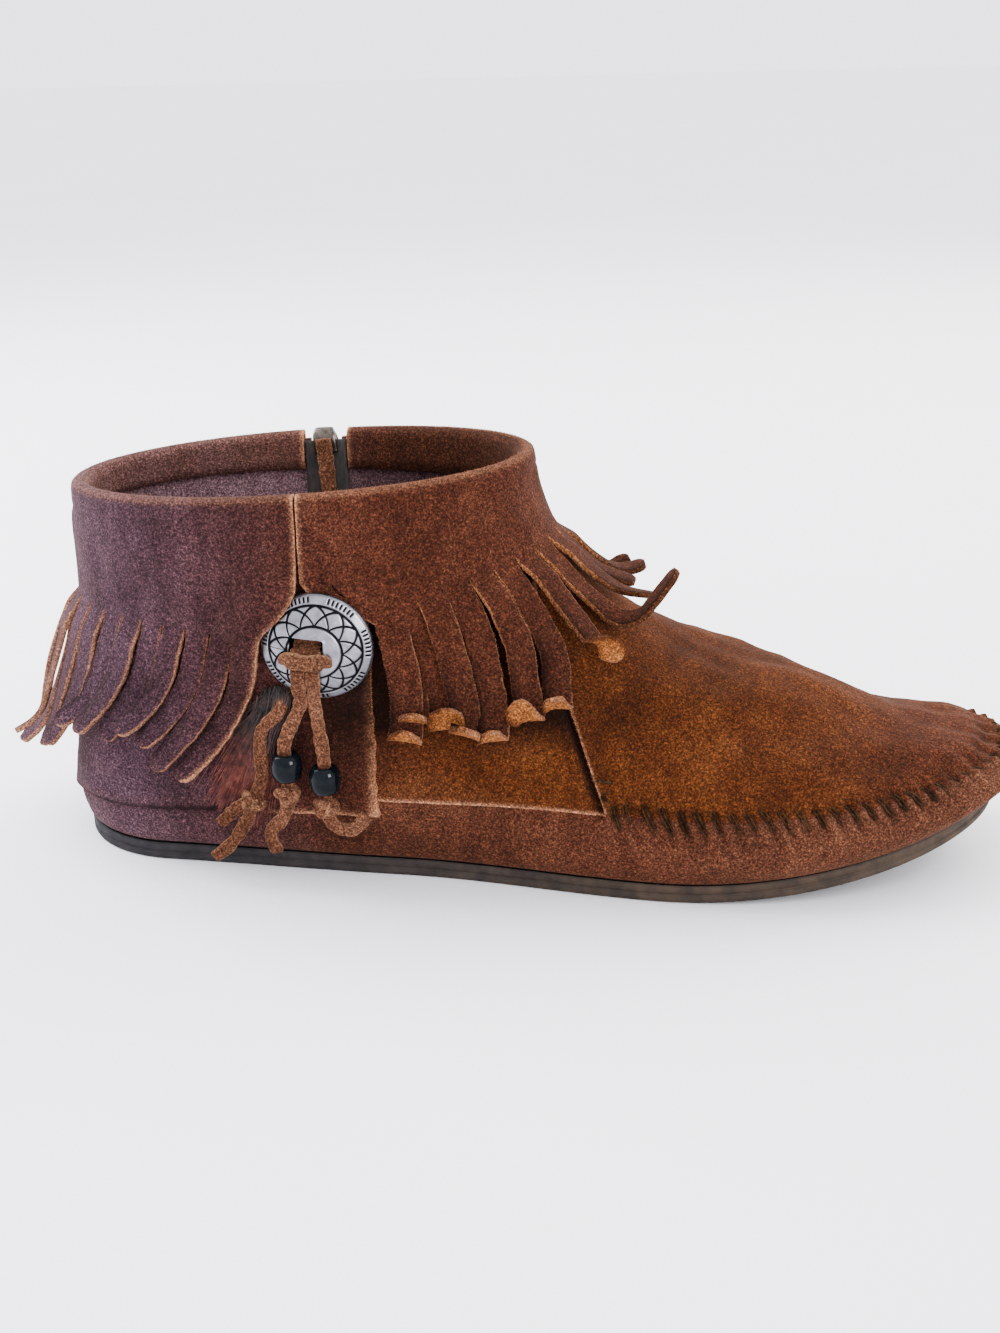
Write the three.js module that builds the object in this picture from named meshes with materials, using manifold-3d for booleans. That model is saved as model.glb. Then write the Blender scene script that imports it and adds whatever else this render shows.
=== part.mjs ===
// A fringed moccasin ankle boot for the right foot, empty and standing on its sole.
// Millimetres. +X runs to the toe, +Y to the inner ankle, +Z up; the origin lies on the floor
// under the middle of the sole. Inside the functions x is counted from the sole's back end.
import * as THREE from 'three';
import { mergeVertices } from 'three/addons/utils/BufferGeometryUtils.js';
import Module from 'manifold-3d';

const { lerp, clamp, smoothstep } = THREE.MathUtils;
const TURN = 2 * Math.PI;

// Driving sizes of the last
const soleLength = 250;
const ballWidth = 84;
const heelWidth = 62;
const heelOverhang = 4.5; // the heel's suede behind the sole
const toeOverhang = 5.5; // the toe's suede ahead of the sole
const collarHeight = 98; // at the back
const collarFrontHeight = 105;
const collarLength = 120;
const collarWidth = 79;
const collarSetback = 5; // collar's back edge, ahead of the sole's
const toeSpring = 15.5;
const springShare = 0.64; // of the sole's length, where the toe starts to rise
const medialBow = 4; // the toe's lean to the inner side

// Leather, rubber and clearances
const soleThickness = 4.8;
const soleMargin = 1.2; // sole beyond the upper's lower corner
const soleBevel = 0.8;
const soleGroove = 0.5;
const insoleThickness = 3;
const insoleInset = 1.2; // clear of the wall's round foot
const wall = 1.4;
const suede = 0.8; // one layer that laps over another
const seamRidge = 1.3; // whip-stitched seam round the toe
const gap = 0.3;

// Panels of the upper
const rearPanelX = 90; // front edge of the heel quarter
const plugFootX = 149; // rear edge of the vamp's plug, at its lower seam
const plugTopX = 128; // and under the cuff

// Cuff and fringe
const cuffThickness = 1.4;
const cuffGap = 0.45; // off the shaft's faceted skin
const hemLevels = [12.5, 12]; // inside the collar
const cuffSeamX = 74; // outer side seam
const windowFrontX = 93.5; // opening below the seam, where the concho shows
const windowRearX = 64;
const stripPitch = 7;
const stripCut = 0.7; // between two strips
const frontStripLength = 41;
const rearStripLength = 50;
const stripTaper = 0.12;

// Zip on the inner side
const zipX = 62;
const zipSlot = 9;
const tapeWidth = 12.2;
const tapeOut = -wall - gap;
const tapeIn = tapeOut - 1;
const teethWidth = 4.2;
const teethRise = 1.2;
const cuffZipGap = 13;
const sliderWidth = 6.6;
const sliderPlate = 1.6;
const pullWidth = 4.4;
const pullThickness = 1.6;
const pullLength = 40;

// Concho, lace and beads on the outer side
const conchoX = 77.5;
const conchoHeight = 67;
const conchoStand = 2.1; // of its edge off the leather
const conchoWidth = 28;
const conchoDome = 4.2;
const conchoPlate = 1.2;
const slotWidth = 8.6;
const slotHeight = 5.4;
const slotSpot = [-2, 1]; // behind and above the concho's middle
const laceWidth = 3.4;
const laceThickness = 1.8;
const beadWidth = 8;
const beadHeight = 7.4;
const beadFrontX = 78.3;
const beadRearX = 68.6;
const beadFrontHeight = 32.6;
const beadRearHeight = 35.6;
const beadReach = 44; // out from the boot's middle
const beadBore = 3.8;
const featherThickness = 0.8;
const knotSize = 6.4;

// Sections of the last, a row each, from the margin turned in under the foot up to the rim.
// rise: share of the collar's height at the heel; frontRise: the same at the front end;
// back: share of heelOverhang; shaft: share of the collar's oval in the section's widths;
// front: share of the way from the collar's front edge to the toe; lift: sides above the line
// from heel to front, share of collarHeight; heel: share of half the heel width; waist and ball,
// outer and inner: shares of half the ball width; caps: round ends, shares of the section's length.
const sectionColumns = ['rise', 'frontRise', 'back', 'shaft', 'front', 'lift', 'heel',
  'waistOut', 'waistIn', 'ballOut', 'ballIn', 'heelCap', 'toeCap'];
const sectionTable = [
  [0.000, 0.000, -2.0, 0.00, 0.835, 0.00, 0.64, 0.52, 0.41, 0.71, 0.69, 0.12, 0.30], // margin
  [0.000, 0.000, 0.10, 0.00, 0.930, 0.00, 0.92, 0.74, 0.61, 0.94, 0.92, 0.12, 0.30], // corner
  [0.042, 0.025, 0.80, 0.00, 0.982, 0.00, 1.00, 0.82, 0.70, 1.01, 0.98, 0.13, 0.30], // low side
  [0.085, 0.058, 1.00, 0.00, 1.000, 0.02, 1.03, 0.86, 0.75, 1.04, 1.01, 0.14, 0.31], // widest
  [0.120, 0.104, 1.00, 0.00, 0.958, 0.09, 1.03, 0.88, 0.78, 1.00, 0.98, 0.15, 0.32], // moc seam
  [0.236, 0.137, 0.80, 0.02, 0.928, 0.10, 1.02, 0.88, 0.80, 0.95, 0.93, 0.16, 0.34], // cheek
  [0.354, 0.174, 0.60, 0.04, 0.880, 0.11, 1.00, 0.88, 0.82, 0.85, 0.83, 0.18, 0.36], // toe top
  [0.462, 0.246, 0.40, 0.08, 0.758, 0.11, 0.98, 0.88, 0.83, 0.76, 0.74, 0.20, 0.38], // vamp
  [0.570, 0.396, 0.20, 0.15, 0.560, 0.07, 0.98, 0.88, 0.84, 0.74, 0.73, 0.24, 0.42], // instep
  [0.677, 0.497, 0.10, 0.35, 0.360, 0.04, 1.00, 0.89, 0.86, 0.76, 0.75, 0.32, 0.46], // ankle
  [0.774, 0.610, 0.00, 0.65, 0.188, 0.01, 1.10, 0.90, 0.88, 0.82, 0.81, 0.42, 0.49], // throat
  [0.860, 0.735, 0.00, 0.90, 0.077, 0.00, 1.20, 0.92, 0.92, 0.92, 0.92, 0.49, 0.50], // shaft
  [0.930, 0.890, 0.00, 1.00, 0.018, 0.00, 1.20, 0.92, 0.92, 0.92, 0.92, 0.50, 0.50], // neck
  [1.000, 1.000, 0.00, 1.00, 0.000, 0.00, 1.20, 0.92, 0.92, 0.92, 0.92, 0.50, 0.50], // rim
];
const seamLevel = 4; // row of the moc seam
const rimLevel = sectionTable.length - 1;
const bed = soleThickness + gap;

// Lift of the toe above the floor at x.
function toeLift(x) {
  const start = springShare * soleLength;
  return toeSpring * clamp((x - start) / (soleLength - start), 0, 1.1) ** 2;
}

// The section at level v, a row's number or between two rows, by a Catmull-Rom curve.
function sectionAt(v) {
  const at = clamp(v, 0, rimLevel);
  const i = Math.min(Math.floor(at), rimLevel - 1);
  const f = at - i;
  const row = (k) => sectionTable[clamp(k, 0, rimLevel)];
  const s = {};
  sectionColumns.forEach((name, c) => {
    const [a, b, d, e] = [row(i - 1)[c], row(i)[c], row(i + 1)[c], row(i + 2)[c]];
    s[name] = b + 0.5 * f * (d - a + f * (2 * a - 5 * b + 4 * d - e + f * (3 * (b - d) + e - a)));
  });
  s.rise = Math.max(0, s.rise);
  s.frontRise = Math.max(0, s.frontRise);
  const collarFront = collarSetback + collarLength;
  s.heelX = lerp(-heelOverhang * s.back, collarSetback, clamp(s.rise, 0, 1));
  s.frontX = lerp(collarFront, soleLength + toeOverhang, s.front);
  s.length = s.frontX - s.heelX;
  return s;
}

// Half width of section s at share q of its length, before the round ends.
function halfWidth(s, q, outer) {
  const foot = ballWidth / 2;
  const waist = foot * (outer ? s.waistOut : s.waistIn);
  const ball = foot * (outer ? s.ballOut : s.ballIn);
  const heelToWaist = lerp(s.heel * heelWidth / 2, waist, smoothstep(q, 0.08, 0.4));
  return lerp(lerp(heelToWaist, ball, smoothstep(q, 0.38, 0.7)), collarWidth / 2, s.shaft);
}

// Outer skin of the last: level v, angle phi (0 heel, PI toe, the outer side between them).
function skinPoint(v, phi) {
  const s = sectionAt(v);
  const q = (1 - Math.cos(phi)) / 2;
  const x = s.heelX + s.length * q;
  const outer = Math.sin(phi) >= 0;
  const end = (share) => Math.sqrt(1 - (1 - Math.min(1, share)) ** 2);
  const y = halfWidth(s, q, outer) * end(q / s.heelCap) * end((1 - q) / s.toeCap);
  const heelZ = lerp(bed, collarHeight, s.rise);
  const frontZ = lerp(bed, collarFrontHeight, s.frontRise);
  const z = lerp(heelZ, frontZ, q) + s.lift * collarHeight * 4 * q * (1 - q);
  const bow = medialBow * clamp((x / soleLength - 0.4) / 0.6, 0, 1.1) ** 2;
  return new THREE.Vector3(x, (outer ? -y : y) + bow, z + toeLift(x));
}

// Skin point with its two tangents and outward normal.
function skinFrame(v, phi) {
  const h = 0.02;
  const low = Math.max(0, v - h);
  const high = Math.min(rimLevel, v + h);
  const around = skinPoint(v, phi + h).sub(skinPoint(v, phi - h)).divideScalar(2 * h);
  const up = skinPoint(high, phi).sub(skinPoint(low, phi)).divideScalar(high - low);
  const normal = around.clone().cross(up).normalize();
  return { point: skinPoint(v, phi), around, up, normal };
}

// Skin point moved out by a distance (in, where it is negative).
function skinOffset(v, phi, distance) {
  const { point, normal } = skinFrame(v, phi);
  return point.addScaledVector(normal, distance);
}

// Angle where level v passes x, on the outer or the inner side.
function angleAtX(v, x, outer) {
  const s = sectionAt(v);
  const q = clamp((x - s.heelX) / s.length, 0.02, 0.965);
  const phi = Math.acos(1 - 2 * q);
  return outer ? phi : TURN - phi;
}

// One step on the skin from (v, phi), along the tangent part of a direction.
function stepOnSkin(v, phi, direction, distance) {
  const { around, up, normal } = skinFrame(v, phi);
  const flat = direction.clone().addScaledVector(normal, -direction.dot(normal)).normalize();
  const [a, b, c] = [around.dot(around), around.dot(up), up.dot(up)];
  const [p, q] = [flat.dot(around), flat.dot(up)];
  const det = a * c - b * b;
  return { v: v + distance * (a * q - b * p) / det, phi: phi + distance * (c * p - b * q) / det };
}

// A leather sheet on a grid of rows and columns: each cell is filled or left out, and
// face(row, column, true) and face(row, column, false) give its outer and inner points.
function sheetGeometry({ rows, columns, closed = false, filled = () => true, face }) {
  const cells = closed ? columns : columns - 1;
  const wrap = (c) => (closed ? (c + columns) % columns : c);
  const has = (r, c) => r >= 0 && r < rows - 1 && (closed || (c >= 0 && c < cells))
    && filled(r, wrap(c));
  const positions = [];
  const seen = new Map();
  const vertex = (r, c, outside) => {
    const key = `${r},${wrap(c)},${outside}`;
    if (!seen.has(key)) {
      seen.set(key, positions.length / 3);
      positions.push(...face(r, wrap(c), outside).toArray());
    }
    return seen.get(key);
  };
  const index = [];
  const quad = (a, b, c, d) => index.push(a, b, c, a, c, d);
  for (let r = 0; r < rows - 1; r++) {
    for (let c = 0; c < cells; c++) {
      if (!has(r, c)) continue;
      const [o00, o01, o11, o10] = [vertex(r, c, true), vertex(r, c + 1, true),
        vertex(r + 1, c + 1, true), vertex(r + 1, c, true)];
      const [i00, i01, i11, i10] = [vertex(r, c, false), vertex(r, c + 1, false),
        vertex(r + 1, c + 1, false), vertex(r + 1, c, false)];
      quad(o00, o01, o11, o10);
      quad(i00, i10, i11, i01);
      if (!has(r, c + 1)) quad(o01, i01, i11, o11);
      if (!has(r, c - 1)) quad(o00, o10, i10, i00);
      if (!has(r + 1, c)) quad(o10, o11, i11, i10);
      if (!has(r - 1, c)) quad(o00, i00, i01, o01);
    }
  }
  return indexed(positions, index);
}

function indexed(positions, index) {
  const geometry = new THREE.BufferGeometry();
  geometry.setAttribute('position', new THREE.Float32BufferAttribute(positions, 3));
  geometry.setIndex(index);
  geometry.computeVertexNormals();
  return geometry;
}

// A solid through closed outlines, bottom first. Point i and point -i of an outline lie across
// from each other, and the two ends are closed by a ladder of faces between them.
function outlineSolid(outlines) {
  const n = outlines[0].length;
  const positions = outlines.flat().flatMap((p) => p.toArray());
  const index = [];
  for (let k = 0; k < outlines.length - 1; k++) {
    for (let i = 0; i < n; i++) {
      const [a, b] = [k * n + i, k * n + (i + 1) % n];
      index.push(a, b, b + n, a, b + n, a + n);
    }
  }
  const top = (outlines.length - 1) * n;
  for (let i = 0; i < n / 2; i++) {
    const [a, b, c, d] = [i, i + 1, (n - i - 1) % n, (n - i) % n];
    if (b !== c) index.push(a, c, b, top + a, top + b, top + c);
    if (a !== d) index.push(a, d, c, top + a, top + c, top + d);
  }
  return indexed(positions, index);
}

// The plan outline of level v, moved out by a distance, at height z above the toe's rise.
function planOutline(v, distance, z, points) {
  return Array.from({ length: points }, (_, i) => {
    const phi = i / points * TURN;
    const { point, around } = skinFrame(v, phi);
    const out = new THREE.Vector3(around.y, -around.x, 0).normalize();
    point.addScaledVector(out, distance);
    return point.setZ(z + toeLift(point.x));
  });
}

// Booleans
const wasm = await Module();
wasm.setup();

function toManifold(geometry) {
  const bare = geometry.clone();
  bare.deleteAttribute('normal');
  bare.deleteAttribute('uv');
  const merged = mergeVertices(bare, 1e-4);
  return new wasm.Manifold(new wasm.Mesh({
    numProp: 3,
    vertProperties: merged.attributes.position.array,
    triVerts: new Uint32Array(merged.index.array),
  }));
}

function toGeometry(manifold) {
  const { vertProperties, triVerts } = manifold.getMesh();
  return indexed(Array.from(vertProperties), Array.from(triVerts));
}

// The same solid with fewer faces, within a tolerance.
const lighten = (geometry, within) => toGeometry(toManifold(geometry).simplify(within));
const cut = (body, tool) => toGeometry(toManifold(body).subtract(toManifold(tool)));

// Sole and insole
function outsole() {
  const points = 52;
  const middle = soleThickness / 2;
  const steps = [[0, -soleBevel], [soleBevel, 0], [middle - soleGroove, 0], [middle, -soleGroove],
    [middle + soleGroove, 0], [soleThickness, 0]];
  return outlineSolid(steps.map(([z, out]) => planOutline(1, soleMargin + out, z, points)));
}

function insole() {
  const points = 36;
  const shelf = bed + wall + gap;
  const side = -wall - gap - insoleInset;
  return outlineSolid([
    planOutline(0, -insoleInset, bed, points),
    planOutline(0, -insoleInset, shelf, points),
    planOutline(1, side, shelf, points),
    planOutline(1, side, shelf + insoleThickness, points),
  ]);
}

// Upper: one wall from the margin to the rim. Its columns run up panel edges, where the outer
// face steps from one layer of suede to the next, and the zip's slot is left out.
const rearLapLevel = seamLevel - 0.4; // the heel quarter laps this far over the lower band
const zipFootLevel = seamLevel + 1;
const fadeLevels = [7.6, 9.2]; // the laps thin out under the cuff
const upperLevels = [0, 0.5, 1, 1.4, 2, 2.8, rearLapLevel - 0.04, rearLapLevel, 3.8, 3.97, 4.03,
  4.25, zipFootLevel, 5.7, 6.5, 7.2, fadeLevels[0], 8.4, fadeLevels[1], 9.9, 10.4, 10.8, 11.2, 11.6,
  12, 12.5, rimLevel];

function plugEdgeAngle(v, outer) {
  const x = lerp(plugFootX, plugTopX, clamp((v - seamLevel) / (11 - seamLevel), 0, 1));
  return angleAtX(v, x, outer);
}

// Panel edges round level v, as [angle, cells up to the next edge, panel up to the next edge].
function panelEdges(v) {
  const width = 0.4; // of a step
  const at = (x, outer) => angleAtX(v, x, outer);
  const half = zipSlot / 2;
  const step = width / skinFrame(v, plugEdgeAngle(v, true)).around.length();
  return [
    [0, 10, 'rear'], [at(rearPanelX, true), 1, 'step'],
    [at(rearPanelX + width, true), 5, 'quarter'], [plugEdgeAngle(v, true) - step, 1, 'step'],
    [plugEdgeAngle(v, true), 10, 'plug'], [Math.PI, 10, 'plug'],
    [plugEdgeAngle(v, false), 1, 'step'], [plugEdgeAngle(v, false) + step, 5, 'quarter'],
    [at(rearPanelX + width, false), 1, 'step'], [at(rearPanelX, false), 2, 'rear'],
    [at(zipX + half, false), 1, 'slot'], [at(zipX - half, false), 7, 'rear'],
  ];
}

// Every column of level v: its angle and the panels on its two sides.
function upperColumns(v) {
  const edges = panelEdges(v);
  return edges.flatMap(([phi, cells, panel], e) => {
    const last = e === edges.length - 1;
    const next = last ? TURN : edges[e + 1][0];
    const before = edges[(e + edges.length - 1) % edges.length][2];
    return Array.from({ length: cells }, (_, i) => ({
      phi: lerp(phi, next, i / cells), panel, before: i ? panel : before,
    }));
  });
}

// Height of the outer face above the skin, on one panel at level v.
function layers(v, panel) {
  const fade = 1 - smoothstep(v, ...fadeLevels);
  if (panel === 'rear' || panel === 'slot') return v < rearLapLevel - 0.01 ? 0 : 2 * suede * fade;
  if (panel === 'plug') return seamRidge * Math.exp(-(((v - seamLevel) / 0.16) ** 2));
  return v < seamLevel ? 0 : suede * fade;
}

function upper() {
  const grid = upperLevels.map(upperColumns);
  const steady = (column) => (column.panel === 'step' ? column.before : column.panel);
  const slotFrom = upperLevels.indexOf(zipFootLevel);
  return sheetGeometry({
    rows: upperLevels.length,
    columns: grid[0].length,
    closed: true,
    filled: (r, c) => r < slotFrom || grid[0][c].panel !== 'slot',
    face: (r, c, outside) => {
      const [v, column] = [upperLevels[r], grid[r][c]];
      return skinOffset(v, column.phi, outside ? layers(v, steady(column)) : -wall);
    },
  });
}

// Cuff: folded over the rim, a hem inside, and outside a fringe of strips
const foldAngles = [0.25, 0.5, 0.75].map((share) => share * Math.PI);
const stripSteps = 6;
const underFringe = 2 * suede + cuffGap; // clears the laps below

// One cuff. side gives: start and end, the angles of its edges at level v; slit, the level where
// a strip leaves the band; strip, the length, direction, flare and curl of the strip at phi.
function cuff(side) {
  const count = Math.round(arcLength(side.slit, side.start, side.end) / stripPitch);
  const middles = evenAngles(side.slit, side.start, side.end, count);
  const bandLevels = [0.3, 0.6, 0.8];
  const rows = stripSteps + 1 + bandLevels.length + 1 + foldAngles.length + 1 + hemLevels.length;
  const slitRow = stripSteps;
  const strips = middles.map((m) => stripPath(side, m));
  return sheetGeometry({
    rows,
    columns: 2 * count,
    filled: (r, c) => c % 2 === 0 || r >= slitRow,
    face: (r, c, outside) => {
      const strip = strips[Math.floor(c / 2)];
      if (r < slitRow) return stripPoint(strip, stripSteps - r, c % 2, outside);
      const share = c % 2 ? strip.to : strip.from;
      const out = cuffGap + (outside ? cuffThickness : 0);
      const level = (v) => lerp(side.start(v), side.end(v), share);
      const above = r - slitRow;
      if (above <= bandLevels.length + 1) {
        const climb = [0, ...bandLevels, 1][above];
        const v = lerp(side.slit(strip.phi), rimLevel, climb);
        return skinOffset(v, level(v), out);
      }
      const fold = above - bandLevels.length - 2;
      if (fold < foldAngles.length) return foldPoint(level(rimLevel), foldAngles[fold], out);
      const v = [rimLevel, ...hemLevels][fold - foldAngles.length];
      return skinOffset(v, level(v), -wall - out);
    },
  });
}

// A point of the fold round the rim, angle 0 outside and PI inside.
function foldPoint(phi, angle, out) {
  const { point, normal } = skinFrame(rimLevel, phi);
  const radius = wall / 2 + out;
  point.addScaledVector(normal, -wall / 2 + radius * Math.cos(angle));
  return point.setZ(point.z + radius * Math.sin(angle));
}

function arcLength(level, start, end) {
  const steps = 80;
  let length = 0;
  let last = null;
  for (let i = 0; i <= steps; i++) {
    const phi = lerp(start(rimLevel), end(rimLevel), i / steps);
    const v = level(phi);
    const point = skinPoint(v, lerp(start(v), end(v), i / steps));
    if (last) length += point.distanceTo(last);
    last = point;
  }
  return length;
}

// Shares and angles of count strips, equal in arc length along the slit line.
function evenAngles(level, start, end, count) {
  const steps = 400;
  const lengths = [0];
  let last = null;
  for (let i = 0; i <= steps; i++) {
    const v = level(lerp(start(rimLevel), end(rimLevel), i / steps));
    const point = skinPoint(v, lerp(start(v), end(v), i / steps));
    if (last) lengths.push(lengths[i - 1] + point.distanceTo(last));
    last = point;
  }
  const total = lengths[steps];
  const shareAt = (length) => {
    const i = lengths.findIndex((l) => l >= length - 1e-9);
    if (i <= 0) return 0;
    return (i - (lengths[i] - length) / (lengths[i] - lengths[i - 1])) / steps;
  };
  return Array.from({ length: count }, (_, k) => {
    const from = shareAt(k ? total * k / count + stripCut / 2 : 0);
    const to = shareAt(k < count - 1 ? total * (k + 1) / count - stripCut / 2 : total);
    const phi = lerp(start(rimLevel), end(rimLevel), (from + to) / 2);
    return { index: k, from, to, phi };
  });
}

// Centre line and frame of one strip, walked down the skin from the slit line.
function stripPath(side, { index, from, to, phi }) {
  const { length, direction, flare, curl } = side.strip(phi, index);
  let v = side.slit(phi);
  let angle = lerp(side.start(v), side.end(v), (from + to) / 2);
  const root = [from, to].map((share) => skinPoint(v, lerp(side.start(v), side.end(v), share)));
  const width = root[0].distanceTo(root[1]);
  const frames = [];
  for (let i = 0; i <= stripSteps; i++) {
    const share = i / stripSteps;
    const { point, around, normal } = skinFrame(v, angle);
    const drop = share * length;
    const stand = cuffGap + (underFringe - cuffGap + (index % 2) * suede) * smoothstep(drop, 0, 9);
    const lift = stand + flare * share ** 1.6 + curl * smoothstep(share, 0.72, 1);
    frames.push({ point: point.addScaledVector(normal, lift), around, normal });
    ({ v, phi: angle } = stepOnSkin(v, angle, direction, length / stripSteps));
  }
  frames.forEach((f, i) => {
    const before = frames[Math.max(0, i - 1)].point;
    const after = frames[Math.min(stripSteps, i + 1)].point;
    const along = after.clone().sub(before).normalize();
    f.across = f.around.clone().addScaledVector(along, -f.around.dot(along)).normalize();
    f.out = along.clone().cross(f.across).normalize();
    if (f.out.dot(f.normal) < 0) f.out.negate();
  });
  return { from, to, phi, width, frames };
}

// A corner of strip step i: edge 0 or 1 along the strip, outer or inner face.
function stripPoint(strip, i, edge, outside) {
  const { point, across, out } = strip.frames[i];
  const half = strip.width / 2 * (1 - stripTaper * i / stripSteps);
  return point.clone()
    .addScaledVector(across, edge ? half : -half)
    .addScaledVector(out, outside ? cuffThickness : 0);
}

const seamTopLevel = 11.15; // foot of the side seam, where the window opens
const windowEdge = (v, x, foot) => lerp(x, cuffSeamX, smoothstep(v, foot, seamTopLevel));

const frontSide = {
  start: (v) => angleAtX(v, windowEdge(v, windowFrontX, 9.9) + gap, true),
  end: (v) => angleAtX(v, zipX + cuffZipGap / 2, false),
  slit: (phi) => {
    const first = Math.exp(-(((phi - 1.7) / 0.16) ** 2));
    const forward = Math.exp(-(((phi - Math.PI) / 0.9) ** 2));
    return 10.7 - 1.1 * first + 0.8 * forward;
  },
  strip: (phi, index) => {
    const forward = Math.exp(-(((phi - Math.PI) / 0.7) ** 2));
    return {
      length: (frontStripLength - 12 * forward - 14 * Math.exp(-index)) * (1 + 0.06 * Math.sin(index * 2.4)),
      direction: new THREE.Vector3(0.12 + 0.5 * forward, 0, -1),
      flare: 1 + forward,
      curl: 2.5 + Math.sin(index * 1.7),
    };
  },
};

const rearSide = {
  start: (v) => angleAtX(v, zipX - cuffZipGap / 2, false),
  end: (v) => TURN + angleAtX(v, windowEdge(v, windowRearX, 9.2) - gap, true),
  slit: () => 9.2,
  strip: (phi, index) => {
    const back = Math.exp(-(((phi - TURN) / 0.6) ** 2));
    const beside = Math.exp(-(((phi - TURN - 1.25) / 0.6) ** 2));
    const last = smoothstep(phi, TURN + 1.4, TURN + 1.7);
    return {
      length: (rearStripLength - 14 * beside + 7 * last) * (1 + 0.05 * Math.sin(index * 2.1)),
      direction: new THREE.Vector3(-0.5 * (1 - back), 0, -1),
      flare: 4 + 9 * back,
      curl: 1,
    };
  },
};

// Level where the skin at x reaches height z.
function levelAt(x, z, outer) {
  let [low, high] = [2, rimLevel];
  for (let i = 0; i < 30; i++) {
    const middle = (low + high) / 2;
    if (skinPoint(middle, angleAtX(middle, x, outer)).z < z) low = middle;
    else high = middle;
  }
  return low;
}

// A strap through points [position, width, thickness], its broad face turned to `out`,
// or its cross direction held to `across`.
function strap(points, { out, across }) {
  const spots = points.map(([p]) => p);
  const rings = points.map(([p, width, thickness], i) => {
    const before = spots[Math.max(0, i - 1)];
    const after = spots[Math.min(spots.length - 1, i + 1)];
    const along = after.clone().sub(before).normalize();
    const side = across ? across.clone() : along.clone().cross(out).normalize();
    const face = side.clone().cross(along).normalize();
    const corner = (a, b) => p.clone().addScaledVector(side, a * width / 2)
      .addScaledVector(face, b * thickness / 2);
    return [corner(1, 1), corner(1, -1), corner(-1, -1), corner(-1, 1)];
  });
  const solid = toManifold(outlineSolid(rings));
  if (solid.volume() > 0) return outlineSolid(rings);
  return outlineSolid(rings.map((ring) => ring.reverse()));
}

// Concho, lace and beads. The concho's own axes: right along the sole, up, and out.
const conchoLevel = levelAt(conchoX, conchoHeight, true);
const conchoSpot = skinFrame(conchoLevel, angleAtX(conchoLevel, conchoX, true));
const conchoOut = conchoSpot.normal;
const conchoRight = conchoSpot.around.clone().normalize();
const conchoUp = conchoRight.clone().cross(conchoOut).negate();
const conchoMatrix = new THREE.Matrix4().makeBasis(conchoRight, conchoUp, conchoOut)
  .setPosition(conchoSpot.point.clone().addScaledVector(conchoOut, conchoStand));
const onConcho = (a, b, c) => new THREE.Vector3(a, b, c).applyMatrix4(conchoMatrix);

function concho() {
  const radius = conchoWidth / 2;
  const top = (r) => conchoDome * (1 - (r / radius) ** 2);
  const at = (share, rise) => new THREE.Vector2(share * radius, top(share * radius) + rise);
  const outside = [0, 0.25, 0.5, 0.72, 0.9].map((share) => at(share, conchoPlate));
  const inside = [0, 0.45, 0.85].map((share) => at(share, 0));
  const edge = [[radius - 0.5, conchoPlate + 0.2], [radius, conchoPlate * 0.6], [radius - 0.2, 0]];
  const profile = [...inside, ...edge.reverse().map(([r, c]) => new THREE.Vector2(r, c)),
    ...outside.reverse()];
  const plate = new THREE.LatheGeometry(profile, 28).rotateX(Math.PI / 2);
  if (toManifold(plate).volume() < 0) plate.index.array.reverse();
  const hole = new THREE.BoxGeometry(slotWidth, slotHeight, 3 * conchoDome)
    .translate(...slotSpot, conchoDome);
  return cut(plate, hole).applyMatrix4(conchoMatrix);
}

function conchoLace() {
  const [a, b] = slotSpot;
  const path = [[6, -0.8], [4.2, 0.4], [2.6, 1.5], [0.6, 2.2], [-0.5, 3.8], [-1.1, 5.4],
    [-2.6, 6.5], [-4.6, 6.6]];
  const width = 2 * laceWidth + gap;
  const points = path.map(([up, out]) => [onConcho(a, b + up, out), width, laceThickness]);
  return strap(points, { across: conchoRight });
}

// One leg of the lace: from the slot through its bead to a knot and a loose end.
function laceLeg(side, bead, knotDrop, end) {
  const [a, b] = slotSpot;
  const x = a + side * (laceWidth + gap) / 2;
  const over = [[-4.95, 6.5], [-8, 6], [-12, 4.7], [-16, 3.4]];
  const points = over.map(([up, out]) => [onConcho(x, b + up, out), laceWidth, laceThickness]);
  const thin = laceWidth - 0.9;
  const drop = (d, width, thickness) => [bead.clone().setZ(bead.z - d), width, thickness];
  points.push(drop(-beadHeight / 2 - 3, laceWidth, laceThickness));
  points.push(drop(-beadHeight / 2, thin, laceThickness), drop(beadHeight / 2, thin, laceThickness));
  points.push(drop(knotDrop - knotSize / 2, laceWidth, laceThickness));
  points.push(drop(knotDrop - knotSize / 4, knotSize, knotSize * 0.8));
  points.push(drop(knotDrop + knotSize / 4, knotSize, knotSize * 0.8));
  for (const spot of end) points.push([spot, laceWidth, laceThickness]);
  return strap(points, { out: new THREE.Vector3(0, -1, 0) });
}

// The longer lace, from behind the concho past the feathers to a knot and a loose end.
function longLace() {
  const start = onConcho(-8.5, -13.2, 1);
  const knot = below(beadRear, -10.1, 2.3, -11);
  const points = [[start, 2, laceThickness], [onConcho(-9.6, -18, 2.7), laceWidth, laceThickness],
    [below(beadRear, -6.6, 2, 8), laceWidth, laceThickness],
    [below(beadRear, -7.4, 2.3, -4), laceWidth, laceThickness],
    [knot.clone().setZ(knot.z + knotSize / 2), laceWidth, laceThickness],
    [knot.clone().setZ(knot.z + knotSize / 4), knotSize, knotSize * 0.7],
    [knot.clone().setZ(knot.z - knotSize / 4), knotSize, knotSize * 0.7],
    [below(beadRear, -12.6, 2.5, -17), laceWidth, laceThickness],
    [below(beadRear, -17, 2.5, -23.5), laceWidth, laceThickness],
    [below(beadRear, -22, 3, -28), laceWidth, laceThickness]];
  return strap(points, { out: new THREE.Vector3(0, -1, 0) });
}

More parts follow.
